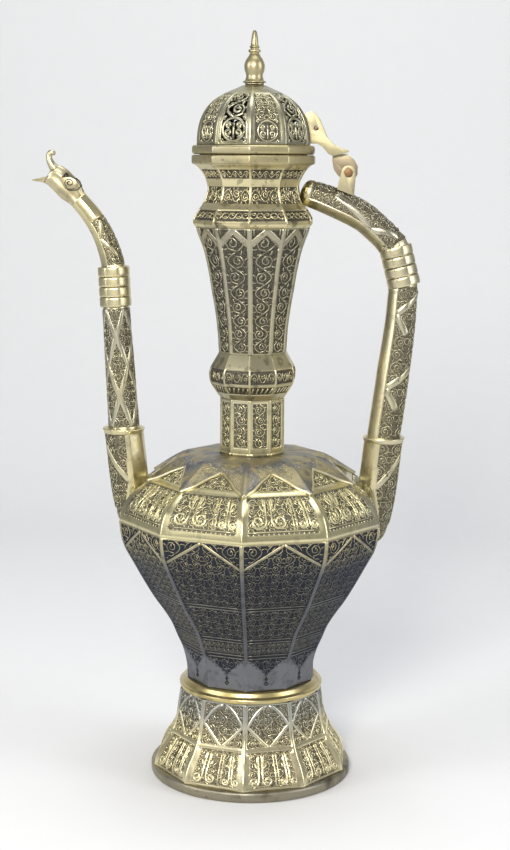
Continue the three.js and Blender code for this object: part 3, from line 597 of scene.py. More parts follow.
def stroke(x, y, *thick):
    """Points with a thickness, each given as an array or as one number for all"""
    return np.column_stack(np.broadcast_arrays(x, y, *(thick or (1.0,))))


def spiral(x, y, radius, start, turns, steps=12, closing=0.8, bud=1.7):
    """A scroll that winds in from its start angle, with a bud at its end"""
    share = np.linspace(0, 1, steps)
    turn = math.radians(start) + share * turns * 2 * math.pi
    reach = radius * (1 - closing * share)
    thick = np.interp(share, [0, 0.3, 0.85, 0.95, 1], [1.1, 1.2, 0.85, bud, bud * 0.7])
    return stroke(x + reach * np.cos(turn), y + reach * np.sin(turn), thick)


def leaf(x, y, angle, length, thick=1.5, bend=0.25):
    """A leaf that swells and tapers as it curves away"""
    share = np.linspace(0, 1, 4)
    turn = math.radians(angle) + bend * share * 2
    reach = share * length
    swell = np.array([0.5, 1.2, 1.1, 0.2]) * thick
    return stroke(x + reach * np.cos(turn), y + reach * np.sin(turn), swell)


def line(*corners, steps=8):
    """A line through corners, with points along it so that it can follow a curved face"""
    corners = np.array(corners, dtype=float)
    runs = [np.linspace(a, b, steps, endpoint=False) for a, b in zip(corners, corners[1:])]
    return stroke(*np.vstack([*runs, corners[-1:]]).T)


def scroll():
    share = np.linspace(0, 1, 7)
    middle = PITCH / 2
    inner = np.vstack([[(0, 0, 1)], spiral(0.16, middle, 0.62, -105, 1.6)])
    leaves = [leaf(*spot) for spot in (
        (0.66, 0.3, -35, 0.36), (0.74, 0.86, 10, 0.3), (0.4, 1.28, 40, 0.42), (-0.72, 1.0, 130, 0.28),
        (-0.35, 1.34, 165, 0.3), (0.16, middle, 60, 0.3))]
    return [stroke(-0.74 * np.sin(share * math.pi), share * PITCH), inner, *leaves]


def link():
    """One link of an interlaced chain"""
    turn = np.linspace(0, 2 * math.pi, 15)
    return [stroke(0.62 * np.cos(turn), PITCH / 2 + 0.72 * np.sin(turn)),
            leaf(-0.3, 0.5, 60, 0.6, 1.6, 0.1)]


def wave():
    """One S of an interlaced wave"""
    share = np.linspace(0, 1, 9)
    return [stroke(-0.7 * np.sin(share * math.pi), share * PITCH), spiral(0.1, PITCH / 2, 0.42, -110, 1.1),
            leaf(0.7, 0.5, 80, 0.4, 1.4)]


def arch():
    """One arch of a running border, with a curl under it and a bud beside it"""
    turn = np.linspace(-math.pi / 2, math.pi / 2, 9)
    return [stroke(0.7 - 1.4 * np.cos(turn), PITCH / 2 + 0.64 * np.sin(turn)),
            spiral(0.2, PITCH / 2, 0.4, 20, 1.2, steps=10), leaf(0.6, 0.02, 180, 0.8, 1.6, 0.0)]


SPRIGS = {make: drawn(make.__name__, make()) for make in (scroll, link, wave, arch)}

# %% [markdown]
# A Chasing gathers all the ornament of one shell. Each pattern is made once in the flat, cut to
# the shape of its field, and then laid on every facet that wears it.

# %% Laying ornament on a surface
class Chasing:
    """Ornament for one surface, gathered into one mesh. Its ground and depth are in millimetres"""

    def __init__(self, surface, depth=0.5, ground=-RELIEF, facets=ALL):
        self.surface, self.depth, self.ground, self.facets = surface, depth, ground, facets
        self.points, self.faces, self.relief = [], [], []

    def lay(self, points, faces, inside=None):
        """Wraps a flat pattern of x, way and height on the facets; inside says where its field is"""
        x, way, height = np.asarray(points).T
        if inside is not None and len(faces):
            corners = np.array([[f[0], f[1], f[2], f[-1]] for f in faces])
            keep = inside(x[corners].mean(axis=1), way[corners].mean(axis=1))
            faces = [face for face, kept in zip(faces, keep) if kept]
            used = sorted({corner for face in faces for corner in face})
            number = {old: new for new, old in enumerate(used)}
            faces = [tuple(number[corner] for corner in face) for face in faces]
            x, way, height = x[used], way[used], height[used]
        for facet in self.facets:
            count = len(self.relief)
            self.points.append(self.surface.place(facet, x, way, self.ground + height))
            self.faces += [tuple(corner + count for corner in face) for face in faces]
            self.relief += list(np.where(height > 0, 1.0, 0.2))

    def lines(self, width, *strokes, depth=None):
        """Drawn strokes, with their width in millimetres"""
        middle = float(np.mean([one[:, 1].mean() for one in strokes]))
        drawing = drawn("strokes", strokes)
        self.lay(*evaluated(line_nodes, Lines=drawing, Width=width / self.surface.unit(middle),
                            Depth=depth or self.depth, Finish=pale_chased))
        bpy.data.objects.remove(drawing)

    def bands(self, width, *heights, depth=None, reach=0.97):
        """Plain raised bands from rib to rib at heights in millimetres"""
        for way in map(self.surface.at, heights):
            self.lines(width, line((-reach, way), (reach, way), steps=6), depth=depth)

    def vines(self, width, columns, reach, low, high, sprig=scroll, depth=0.5, inside=None, across=False,
              middle=0):
        """Rows of a sprig that fill x to a reach round its middle, from way low to way high; across
        turns the rows to run from rib to rib"""
        length, breadth = (2 * reach, high - low) if across else (high - low, 2 * reach)
        half = breadth / columns / 2
        count = max(1, round(length / (PITCH * half)))
        if sprig in (scroll, wave) and across and count % 2 == 0:
            count += 1
        size = self.surface.unit((low + high) / 2) * half
        points, faces = evaluated(vine_nodes, Sprig=SPRIGS[sprig], Count=count, Pitch=PITCH,
                                  Width=width / size, Depth=depth, Finish=pale_chased)
        start = middle - reach
        for column in range(columns):
            centre = half * (2 * column + 1)
            flip = -1 if column % 2 else 1
            over, along = points[:, 0] * half * flip, points[:, 1] * (length / count / PITCH)
            spots = (start + along, low + centre - over) if across else (start + centre + over, low + along)
            turned = [face[::-1] for face in faces] if flip < 0 else faces
            self.lay(np.column_stack([*spots, points[:, 2]]), turned, inside)

    def piece(self, name, material, body=VESSEL, slot="chased_silver"):
        """All that was laid, as one mesh"""
        mesh_object(name, np.vstack(self.points), self.faces, material, body, (), self.relief)


def frame_lines(x, low, high):
    """A rectangle's outline, between ways low and high"""
    return [*(line((side, low), (side, high), steps=20) for side in (-x, x)),
            *(line((-x, way), (x, way), steps=6) for way in (low, high))]


def set_down(drawing, hand, over, up=0.0):
    """A stroke moved over and up, and mirrored for a hand of -1"""
    return drawing * (hand, 1, 1) + (hand * over, up, 0)


def volutes(middle, half, low, high, thick=1.0):
    """A mirrored pair of stalks that come down, each into a large scroll, with leaves outside them"""
    radius = half * 0.36
    strokes = []
    for hand in (-1, 1):
        over = half * 0.14
        curl = set_down(spiral(0, low + radius, radius, 180, 1.4, 16, 0.72, 1.5), hand, over + radius)
        stalk = line((hand * over, high), (hand * over, low + radius), steps=6)
        strokes.append(np.vstack([stalk[:-1], curl]) * (1, 1, thick))
        strokes += [set_down(leaf(0, 0, angle, half * 0.62, thick * 1.2), hand, half * 0.2,
                             low + (high - low) * rise) for rise, angle in ((0.5, 40), (0.68, 65))]
    return [one + (middle, 0, 0) for one in strokes]


def roundel(way, radius):
    """A ring with a palmette of curls in it, and leaves in the corners outside"""
    turn = np.linspace(0, 2 * math.pi, 25)
    strokes = [stroke(radius * np.cos(turn), way + radius * np.sin(turn)),
               leaf(0, way - radius * 0.8, 90, radius * 1.3, 1.6, 0.0)]
    for hand in (-1, 1):
        for rise, size in ((-0.3, 0.36), (0.36, 0.28)):
            curl = spiral(0, 0, radius * size, -110, 1.25, steps=14, bud=1.6)
            strokes.append(set_down(curl, hand, radius * 0.44, way + rise * radius))
        for rise in (-1, 1):
            corner = spiral(0, 0, radius * 0.2, 180 - 20 * rise, -rise * 0.9, steps=9, bud=1.4)
            strokes.append(set_down(corner, hand, radius * 0.98, way + rise * radius * 0.95))
    return strokes


# %% [markdown]
# The foot is a flared shell on a round rim. Its upper zone has a pointed medallion on each facet,
# filled with scrolls, and under a raised band its lower zone has large volutes among foliage.

# %% Foot
foot = Shell("foot_shell")
foot_low, foot_mid_low, foot_mid_high, foot_high = foot.at(6.8, 22.5, 24.4, 45.0)
medallion_middle, medallion_half = (foot_mid_high + foot_high) / 2, (foot_high - foot_mid_high) / 2


def foot_field(facet, x, way):
    return ((np.abs(x) < 0.88) & (foot_low < way < foot_mid_low)
            | (np.abs(x) < 0.92) & (foot_mid_high < way < foot_high))


def medallion_width(rise):
    """Half a medallion's width, from its lower point at -1 to its upper one at 1: straight sides
    below, rounder ones above"""
    return (1 - np.clip(np.abs(rise), 0, 1)) ** np.where(rise < 0, 0.9, 0.55)


def medallion(x, way):
    """True inside a pointed medallion between the band and the foot's top"""
    return np.abs(x) < 0.8 * medallion_width((way - medallion_middle) / medallion_half)


# The foot's inside is lined with near-black silver: painted shade.
raise_shell("foot_shell_chased", foot, 60, foot_chased, foot_field, lining=dark_marks_and_inner_shade)
chasing = Chasing(foot, 0.55)
rise = np.linspace(-1, 1, 25)
chasing.lines(2.1, *(stroke(side * medallion_width(rise), medallion_middle + rise * medallion_half)
                     for side in (-0.88, 0.88)), depth=0.56)
chasing.vines(0.6, 3, 0.82, foot_mid_high, foot_high, inside=medallion)
chasing.vines(0.55, 4, 0.92, foot_mid_high, foot_high,
              inside=lambda x, way: ~medallion(x * 0.8, way) & (np.abs(x) < 0.92))
chasing.bands(2.0, 23.4)
chasing.lines(1.25, *volutes(-0.4, 0.46, foot_low + 0.05, foot_mid_low, 1.1),
              *volutes(0.53, 0.34, foot_low + 0.05, foot_mid_low))
chasing.lines(0.7, *(line((x, foot_low), (x, foot_mid_low)) for x in (0.1, 0.21)))
chasing.vines(0.6, 4, 0.87, foot_low, foot_mid_low)
chasing.piece("foot_ornament", foot_chased)

# %% [markdown]
# The belly hangs between its waist and its widest ring. From the ring, bands run down from the
# middle of each facet to its ribs, and thin rings part fields of scrolls. Under the last ring each
# facet is plain blue-grey silver, a painted blue reflection, with a small pendant.

# %% Belly
belly = Shell("body_lower")
belly_top, vee_foot, pendant_low, chain_low = belly.at(135.0, 122.5, 59.6, 55.6)
ring_a, ring_b, ring_c, ring_d = belly.at(100.0, 80.4, 71.2, 68.4)
PENDANT_HALF = 0.84
BELLY_RIB = ((0.0, -0.02), (0.35, 0.0), (0.75, -0.02), (1.0, -0.3), (1.2, -RELIEF))


def in_pendant(x, way):
    return np.abs(x) < PENDANT_HALF * np.clip((way - pendant_low) / (ring_d - pendant_low), 0, 1)


def belly_field(facet, x, way):
    return (np.abs(x) < 0.95) & (ring_d < way < belly_top) | in_pendant(x, way) & (way < ring_d)


def above_vee(x, way):
    """How far a place is above the middle of the vee of bands, which hangs from the widest ring"""
    return way - belly_top + np.abs(x) * (belly_top - vee_foot)


# The belly's sheet is dark and bluish: painted shade and painted blue reflection.
raise_shell("belly_chased_shell", belly, 84, belly_painted_shade_and_reflection, belly_field, BELLY_RIB, 13, slot="dark_silver")
chasing = Chasing(belly)
chasing.lines(1.9, *(line((0, belly_top), (x, vee_foot), steps=10) for x in (-0.97, 0.97)))
chasing.vines(0.6, 4, 0.93, vee_foot - 0.1, belly_top + 0.03, depth=0.55,
              inside=lambda x, way: above_vee(x, way) > 0.06)
chasing.vines(0.5, 6, 0.93, ring_a + 0.05, belly_top, inside=lambda x, way: above_vee(x, way) < -0.06)
chasing.bands(0.8, 100.0, 98.4)
chasing.piece("belly_upper_ornament", belly_chased_blue_reflection, slot="dark_silver")

chasing = Chasing(belly)
chasing.vines(0.48, 5, 0.93, ring_b + 0.05, belly.at(97.8), depth=0.48)
chasing.bands(0.7, 80.4, 78.8)
chasing.vines(0.5, 2, 0.93, ring_c + 0.08, belly.at(78.2), across=True)
chasing.bands(0.8, 71.2, 69.4)
chasing.vines(0.42, 3, PENDANT_HALF, pendant_low, ring_d, depth=0.55, inside=in_pendant)
chasing.lines(0.5, line((-PENDANT_HALF, ring_d), (0, pendant_low), (PENDANT_HALF, ring_d)), depth=0.4)
chasing.piece("belly_lower_ornament", belly_chased_blue_reflection, slot="dark_silver")

lozenges = [line((0, way - size), (size, way), (0, way + size), (-size, way), (0, way - size), steps=2)
            for way, size in ((pendant_low - 0.16, 0.07), (chain_low, 0.1))]
chasing = Chasing(belly, 0.6, ground=-0.1)
chasing.lines(0.65, line((0, pendant_low), (0, chain_low)), *lozenges)
chasing.piece("belly_pendant_chains", dark_marks_and_inner_shade, slot="dark_silver")

# %% [markdown]
# The shoulder turns in over the ring. A frieze of volutes and scrolls runs round it, parted by upright
# bars. Over it lies the star: a plate with ten points, one down each rib, whose edge is rolled.

# %% Shoulder and star
shoulder = Shell("body_shoulder", reach=15.0)
STAR_LIFT = 1.15
star_tip, star_valley, star_foot = shoulder.at(155.6, 164.4, 158.2)
frieze_low, frieze_high, scrolls_low, dots_way = shoulder.at(139.4, 156.0, 142.0, 140.4)


def star_edge(x):
    """Way to the star's edge: tips on the ribs, a valley between, and a lobe on each side"""
    share = 1 - np.abs(x)
    lobe = 0.075 * np.sin(np.clip(share / 0.62, 0, 1) * math.pi) ** 2
    return star_tip + (star_valley - star_tip) * share ** 0.9 - lobe


def under_star(x, way):
    return (way > star_foot) & (way < star_edge(x) - 0.06) & (np.abs(x) < 0.7)


def shoulder_field(facet, x, way):
    return (np.abs(x) < 0.9) & (frieze_low < way < frieze_high) | under_star(x, way)


raise_shell("shoulder_chased_shell", shoulder, 72, shoulder_chased, shoulder_field,
            ((0.0, 0.0), (0.6, 0.0), (1.1, -0.02), (1.5, -0.3), (1.75, -RELIEF)), 17)
chasing = Chasing(shoulder, 0.56)
chasing.bands(2.4, 137.0, reach=1.0)
chasing.vines(0.6, 3, 0.88, scrolls_low, frieze_high - 0.02, across=True)
chasing.lines(1.35, *volutes(-0.34, 0.52, scrolls_low + 0.04, frieze_high, 1.1),
              *volutes(0.62, 0.27, scrolls_low + 0.04, frieze_high, 0.75), depth=0.6)
chasing.lines(0.7, *(line((x, scrolls_low), (x, frieze_high)) for x in (0.25, 0.33)), depth=0.58)
chasing.bands(1.2, 157.1)
chasing.bands(0.6, 141.6, reach=0.88)
chasing.lines(0.9, *(line((x, dots_way - 0.018), (x, dots_way + 0.018), steps=1)
                     for x in np.linspace(-0.84, 0.84, 15)), depth=0.6)
chasing.vines(0.5, 4, 0.7, star_foot, star_valley, depth=0.55, inside=under_star)
chasing.piece("shoulder_ornament", shoulder_chased)


def star_rows(facet):
    """Rows of the plate, from its edge up to the stem, a little domed along each rib"""
    x = np.linspace(-1, 1, 41)
    rib = 0.2 * np.exp(-((1 - np.abs(x)) * 9) ** 2)
    return [(x, star_edge(x) * (1 - share) + (shoulder.end - 0.02) * share,
             (STAR_LIFT - 0.35) * (1 - share ** 3) + 0.15 + rib, np.full(41, 0.45))
            for share in np.linspace(0, 1, 22)]


sheet("star_plate", shoulder, star_rows, star_silver, 0.9, node="star_collar")
x = np.linspace(-1, 1, 49)
chasing = Chasing(shoulder, 1.25, ground=STAR_LIFT - 0.75)
chasing.lines(1.9, stroke(x, star_edge(x) + 0.035, 0.75 + 0.5 * np.sin(np.abs(x) * math.pi) ** 2))
chasing.piece("star_rolled_edge", gilt_bright)
chasing = Chasing(shoulder, ground=STAR_LIFT - 0.28)
chasing.vines(0.6, 5, 0.9, star_tip, shoulder.at(167.4), depth=0.24,
              inside=lambda x, way: way > star_edge(x) + 0.13)
chasing.piece("star_chasing", star_silver)

# %% [markdown]
# The neck is a straight stem, a knop and a long flare. Framed vines run up the stem, the knop has
# two belts, and the flare has an arched panel on each facet under a zigzag.

# %% Neck
KNOP_RIB = ((0.0, -0.02), (0.2, 0.0), (0.4, -0.02), (0.6, -0.2), (0.8, -RELIEF))
ARCH_HALF = 0.84


def between_heights(surface, *heights, reach=1.1):
    """A field between pairs of heights, in millimetres"""
    ways = surface.at(*heights)
    zones = list(zip(ways[::2], ways[1::2]))
    return lambda facet, x, way: (np.abs(x) < reach) & any(low < way < high for low, high in zones)


stem = Shell("neck_stem")
stem_low, stem_high = stem.at(173.2, 196.2)
raise_shell("neck_stem_chased", stem, 40, pale_chased, between_heights(stem, 173.2, 196.2, reach=0.74),
            inner=11)
chasing = Chasing(stem)
chasing.vines(0.62, 1, 0.68, stem_low + 0.05, stem_high - 0.05)
chasing.bands(2.4, 170.0, depth=1.1, reach=1.0)
chasing.bands(0.9, 197.3, depth=0.7, reach=1.0)
chasing.piece("stem_ornament", pale_chased)

knop = Shell("neck_knop")
raise_shell("neck_knop_chased", knop, 72, collar_chased, between_heights(knop, 206.3, 213.3, 200.9, 204.6),
            KNOP_RIB)
dash_low, dash_high = knop.at(201.3, 204.2)
chasing = Chasing(knop, 0.55)
chasing.bands(0.8, 200.3, 205.4, 213.7, depth=0.62, reach=1.0)
chasing.vines(0.7, 1, 0.98, *knop.at(206.5, 213.2), arch, across=True)
chasing.lines(0.9, *(line((x, dash_low), (x + 0.16, dash_high), steps=3)
                     for x in np.linspace(-0.85, 0.7, 5)))
chasing.piece("knop_ornament", collar_chased)

flare = Shell("neck_flare")
arch_low, arch_side, arch_top, leaf_top = flare.at(221.5, 274.6, 281.2, 284.4)
zig_low, zig_high, flare_top = flare.at(276.6, 283.9, 285.2)


def in_arch(x, way):
    rise = np.clip((way - arch_side) / (arch_top - arch_side), 0, 1)
    return (np.abs(x) < ARCH_HALF * (1 - rise)) & (way > arch_low) & (way < arch_top)


def over_zigzag(x, way):
    return ((way > zig_high - np.abs(x) * (zig_high - zig_low) + 0.08) & (way < flare_top)
            & (np.abs(x) < 0.94))


raise_shell("neck_flare_chased", flare, 76, grey_chased, inner=15, slot="dark_silver",
            field=lambda facet, x, way: in_arch(x, way) | over_zigzag(x, way))
chasing = Chasing(flare, 0.55)
chasing.lines(2.0, *(line((hand, zig_low), (0, zig_high)) for hand in (-1, 1)), depth=0.75)
for x in (-ARCH_HALF, ARCH_HALF):
    chasing.lines(0.5, line((x, arch_low), (x, arch_side), steps=24),
                  line((x, arch_side), (0, arch_top), steps=6))
chasing.lines(0.5, line((-ARCH_HALF, arch_low), (ARCH_HALF, arch_low)))
chasing.vines(0.95, 1, 0.8, arch_low + 0.05, arch_top, inside=in_arch)
chasing.lines(0.8, *(leaf(x, leaf_top, -90, 0.4, 2.0, 0.0) for x in (-0.74, 0.74)), depth=0.7)
chasing.piece("flare_ornament", grey_chased, slot="dark_silver")

# %% [markdown]
# The mouth's collar draws in to a waist. Narrow belts ring it: a chain at its foot, foliage over
# it, a plain band, and an interlaced wave under the rim.

# %% Mouth
collar = Shell("mouth_collar")
raise_shell("mouth_collar_chased", collar, 90, collar_chased,
            between_heights(collar, 288.0, 292.8, 296.2, 304.0, 307.9, 312.2),
            ((0.0, -0.02), (0.2, 0.0), (0.45, -0.02), (0.65, -0.2), (0.85, -RELIEF)), 7)
chasing = Chasing(collar, 0.62)
chasing.bands(1.1, 285.8, 287.3, depth=0.7, reach=1.0)
chasing.vines(0.75, 1, 0.96, *collar.at(288.2, 292.6), link, across=True)
chasing.bands(0.7, 293.6, 295.6)
chasing.vines(0.8, 1, 0.95, *collar.at(296.3, 303.9), across=True)
chasing.vines(0.65, 1, 0.94, *collar.at(308.1, 312.0), wave, across=True)
chasing.piece("collar_ornament", collar_chased)

# %% [markdown]
# The dome has ten facets like the rest. Five are engraved. The other five are pierced, so the sheet
# is left out there, and a roundel and scrolls as thick as the sheet hold to each other and the frame.

# %% Dome
dome = Shell("lid_dome", reach=5.5)
SOLID, PIERCED = ALL[::2], ALL[1::2]
dome_low, dome_high = dome.at(325.6, 349.4)
DOME_HALF = 0.78
ROUNDEL = 0.66


def dome_window(facet, x, way):
    return (np.abs(x) < DOME_HALF) & (way > dome_low) & (way < dome_high)


# The dome's inside, seen through the pierced facets, is lined with near-black silver: painted shade.
raise_shell("lid_dome_chased", dome, 64, dome_chased, dome_window, inner=11, lining=dark_marks_and_inner_shade, body=LID,
            is_open=lambda facet, x, way: facet in PIERCED and dome_window(facet, x, way))
dome_frame = frame_lines(DOME_HALF, dome_low, dome_high)
chasing = Chasing(dome, 0.6, facets=SOLID)
chasing.lines(0.5, *dome_frame)
chasing.lines(0.85, *roundel(dome_low + 0.62, 0.56))
chasing.vines(0.65, 2, 0.72, dome_low + 1.2, dome_high)
chasing.piece("dome_engraving", pale_chased, LID)

roundel_way = dome_low + ROUNDEL + 0.06
chasing = Chasing(dome, 0.85, ground=-0.7, facets=PIERCED)
chasing.lines(1.75, *roundel(roundel_way, ROUNDEL))
chasing.vines(1.85, 1, 0.84, roundel_way + ROUNDEL, dome_high + 0.03, depth=0.85)
chasing.lines(1.4, *dome_frame, depth=0.8)
chasing.piece("dome_openwork", dome_chased, LID)

# %% [markdown]
# The rims, the ledge and the finial are plain bright metal. The round ones are turned from a
# profile, and the ten-sided ones are turned with ten sides and then get soft edges.

# %% Turned pieces
def turned(name, profile, sides, material, node, body=VESSEL, closed=True):
    """A profile of radius and height, turned about the vessel's axis"""
    radius, height = np.array(profile).T
    turns = -math.pi / 2 + np.arange(sides) * 2 * math.pi / sides
    points = [np.column_stack([AXIS + radius * math.cos(turn), radius * math.sin(turn), height])
              for turn in turns]
    faces = grid_faces(sides, len(radius), loop=True, ring=closed)
    piece = mesh_object(name, np.vstack(points), faces, material, body, (node,))
    outwards(piece.data, JOINED)
    return piece


def rounded(corners, radius, steps=6):
    """A closed profile with its corners rounded"""
    corners = np.array(corners, dtype=float)
    out = []
    for before, here, after in zip(np.roll(corners, 1, 0), corners, np.roll(corners, -1, 0)):
        into, away = here - before, after - here
        reach = min(radius, np.linalg.norm(into) * 0.45, np.linalg.norm(away) * 0.45)
        start = here - into / np.linalg.norm(into) * reach
        end = here + away / np.linalg.norm(away) * reach
        for t in np.linspace(0, 1, steps):
            out.append((1 - t) ** 2 * start + 2 * t * (1 - t) * here + t * t * end)
    return out


def block(node, out, inner, radius, steps=6):
    """A profile as high as a node, between two radii, with its corners rounded"""
    low, high = (corner[2] for corner in box_of(node))
    return rounded([(out, low), (out, high), (inner, high), (inner, low)], radius, steps)


ROUND_SIDES = 120
rim_out = box_of("foot_rim")[1][0] - AXIS
turned("foot_rim_rolled", block("foot_rim", rim_out, rim_out - 5.4, 1.8), ROUND_SIDES, foot_dull,
       "foot_rim")

ledge_low, ledge_high = box_of("foot_ledge")
ledge_out, ledge_foot, ledge_top = ledge_high[0] - AXIS, ledge_low[2], ledge_high[2]
waist = belly.radius[0]
turned("foot_ledge_rolled", rounded([
    (ledge_out - 0.3, ledge_foot), (ledge_out, ledge_foot + 1.2), (ledge_out - 0.1, ledge_foot + 2.3),
    (ledge_out - 1.6, ledge_foot + 2.8), (waist + 0.6, ledge_top), (waist - 2.5, ledge_top),
    (waist - 2.5, ledge_foot)], 0.9), ROUND_SIDES, ledge_gilt, "foot_ledge")

for node, body, inner in (("mouth_rim", VESSEL, 29.4), ("lid_rim", LID, 28.1)):
    out = -box_of(node)[0][1]  # radius of its corners, one of which faces the viewer
    piece = turned(node + "_rolled", block(node, out, inner, 1.5, 5), SIDES, gilt_worn, node, body)
    soft_edges(piece, 0.5, 25)

finial_low, finial_high = box_of("finial")
finial_foot = box_of("lid_dome")[1][2] + 0.3
finial_reach = (finial_high[0] - finial_low[0]) / 2
FINIAL = (  # shares of its greatest radius and of its height over the dome
    (0.0, -0.13), (0.2, -0.13), (0.41, -0.13), (0.5, -0.02), (0.8, 0.0), (0.84, 0.035), (1.0, 0.045),
    (1.0, 0.062), (0.84, 0.08), (0.76, 0.12), (0.72, 0.165), (0.75, 0.205), (0.85, 0.265), (0.89, 0.33),
    (0.86, 0.39), (0.74, 0.455), (0.54, 0.52), (0.4, 0.57), (0.38, 0.585), (0.5, 0.6), (0.53, 0.62),
    (0.49, 0.642), (0.35, 0.652), (0.35, 0.672), (0.43, 0.686), (0.42, 0.703), (0.33, 0.717),
    (0.32, 0.76), (0.28, 0.84), (0.23, 0.91), (0.18, 0.96), (0.11, 0.99), (0.0, 1.0))
finial_line = smooth_line(np.array(FINIAL) * (finial_reach, finial_high[2] - finial_foot), 170)
turned("finial_turned", finial_line + (0, finial_foot), 48, gilt_worn, "finial", LID, closed=False)

# %% [markdown]
# The spout and the handle are bent eight-sided tubes. Planes that march along the CAD tube give
# its middle line and its half widths, and the tube is then raised like the shells. One facet faces
# the viewer. Its ornament runs on round the tube past that facet's edges.

# %% Tubes traced from the frame
TUBE_SIDES = 8
EIGHTH = math.pi / TUBE_SIDES
FRONT, BACK = 6, 2
OUTSIDE, INSIDE = -4, 4  # half facets from the front's middle to the outer and to the inner side
ROUND = 2 * TUBE_SIDES  # half facets round a tube


def triangles_of(node):
    """A CAD node's triangles, in millimetres"""
    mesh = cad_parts[node].data
    mesh.calc_loop_triangles()
    points = np.empty(len(mesh.vertices) * 3)
    mesh.vertices.foreach_get("co", points)
    corners = np.empty(len(mesh.loop_triangles) * 3, dtype=int)
    mesh.loop_triangles.foreach_get("vertices", corners)
    return (points.reshape(-1, 3) / MM)[corners.reshape(-1, 3)]


def crossed(triangles, place, along):
    """Points where a plane cuts the triangles"""
    side = (triangles - place) @ along
    spots = []
    for a, b in ((0, 1), (1, 2), (2, 0)):
        cut = side[:, a] * side[:, b] < 0
        share = side[cut, a] / (side[cut, a] - side[cut, b])
        spots.append(triangles[cut, a] + share[:, None] * (triangles[cut, b] - triangles[cut, a]))
    return np.vstack(spots)


def traced(node, start, heading, step=1.5, near=14.0):
    """Stations (X, Z, half in the plane, half across) along a tube"""
    triangles = triangles_of(node)
    place = np.array([start[0], 0.0, start[1]])
    along = np.array([heading[0], 0.0, heading[1]]) / math.hypot(*heading)
    stations = []
    while True:
        spots = crossed(triangles, place, along)
        spots = spots[np.linalg.norm(spots - place, axis=1) < near]
        if len(spots) < 6:
            return np.array(stations)
        side = np.array([along[2], 0.0, -along[0]])
        across = (spots - place) @ side
        middle = place + side * (across.min() + across.max()) / 2
        if stations:
            run = middle - last
            along = along * 0.5 + run / np.linalg.norm(run) * 0.5
            along /= np.linalg.norm(along)
        half = (across.max() - across.min()) / 2
        stations.append((middle[0], middle[2], half, np.abs(spots[:, 1]).max()))
        last = middle
        place = middle + along * step


class Tube(Surface):
    """An eight-sided surface round a middle line. x may run on past its facet. A sharpness of 1
    makes the facets flat, and 0 makes the tube round"""

    sides = TUBE_SIDES

    def __init__(self, node, stations, sharpness, count=90):
        self.line, self.sharpness = smooth_line(stations, count), sharpness
        run = np.gradient(self.line[:, :2], axis=0)
        self.along = run / np.linalg.norm(run, axis=1)[:, None]
        self.measure(node, self.line[:, 2] * math.tan(EIGHTH), step_lengths(self.line[:, :2]))

    def near(self, spot):
        """Way nearest to a place (X, Z)"""
        return self.way[np.argmin(np.linalg.norm(self.line[:, :2] - spot, axis=1))]

    def place(self, facet, x, way, lift):
        turn = (facet * 2 + x) * EIGHTH
        centre_x, centre_z, deep, wide, run_x, run_z = self.here(way, *self.line.T, *self.along.T)
        out = (deep + lift) / np.cos(((x + 1) % 2 - 1) * EIGHTH) ** self.sharpness
        side = out * np.cos(turn)
        return np.column_stack([centre_x + side * run_z, out * np.sin(turn) * wide / deep,
                                centre_z - side * run_x])


def carried_on(stations, distance, share=1.0):
    """One more station past the end, along the same line, with a share of its width"""
    run = stations[-1, :2] - stations[-2, :2]
    spot = stations[-1, :2] + run / np.linalg.norm(run) * distance
    return np.vstack([stations, [*spot, *(stations[-1, 2:] * share)]])


# %% [markdown]
# The spout rises from its socket to a collar of four rings, and its neck bends out to the head. Its
# straps cross all round. Those of the handle and of the neck leave a plain side free, and rise and
# fall from the edge along it.

# %% Chased tubes
TUBE_GROUND = -RELIEF * 0.7
STRAP_DEPTH = 0.42


def even_edge(step, lift):
    """Five columns at even steps, for a surface without ribs"""
    return [(step * k, lift) for k in range(5)]


def away_from(middle, facet, x):
    """Half facets round the tube from a middle, for a place x on a facet"""
    return np.abs((x + 2 * (facet - FRONT) - middle + ROUND / 2) % ROUND - ROUND / 2)


def edge_straps(middle, reach, crossing, *arms):
    """Straps from both edges of a zone round a middle; arms are (distance round, distance along)"""
    return [line((middle + hand * reach, crossing), (middle + hand * (reach - over), crossing + along),
                 steps=12) for hand in (-1, 1) for over, along in arms]


def clear_of(strokes, room, zone):
    """A field inside a zone that keeps away from straight strokes, which may run on round the tube"""
    def inside(x, way):
        clear = zone(x, way)
        for one in strokes:
            for lap in (-ROUND, 0, ROUND):
                start, end = one[0, :2] + (lap, 0), one[-1, :2] + (lap, 0)
                run = end - start
                from_start = np.stack([x, way], axis=-1) - start
                share = np.clip(from_start @ run / run.dot(run), 0, 1)
                clear &= np.linalg.norm(from_start - share[:, None] * run, axis=1) > room
        return clear
    return inside


def raised_tube(name, tube, rows, thick, field, strap_width, straps):
    """A tube raised over its CAD node, beaten down in its field, and its first ornament: straps"""
    raise_shell(name, tube, rows, tube_silver, field, even_edge(0.3, TUBE_GROUND), thick=thick, plain=0.0,
                ground=TUBE_GROUND)
    chasing = Chasing(tube, STRAP_DEPTH, TUBE_GROUND, (FRONT,))
    chasing.lines(strap_width, *straps)
    return chasing


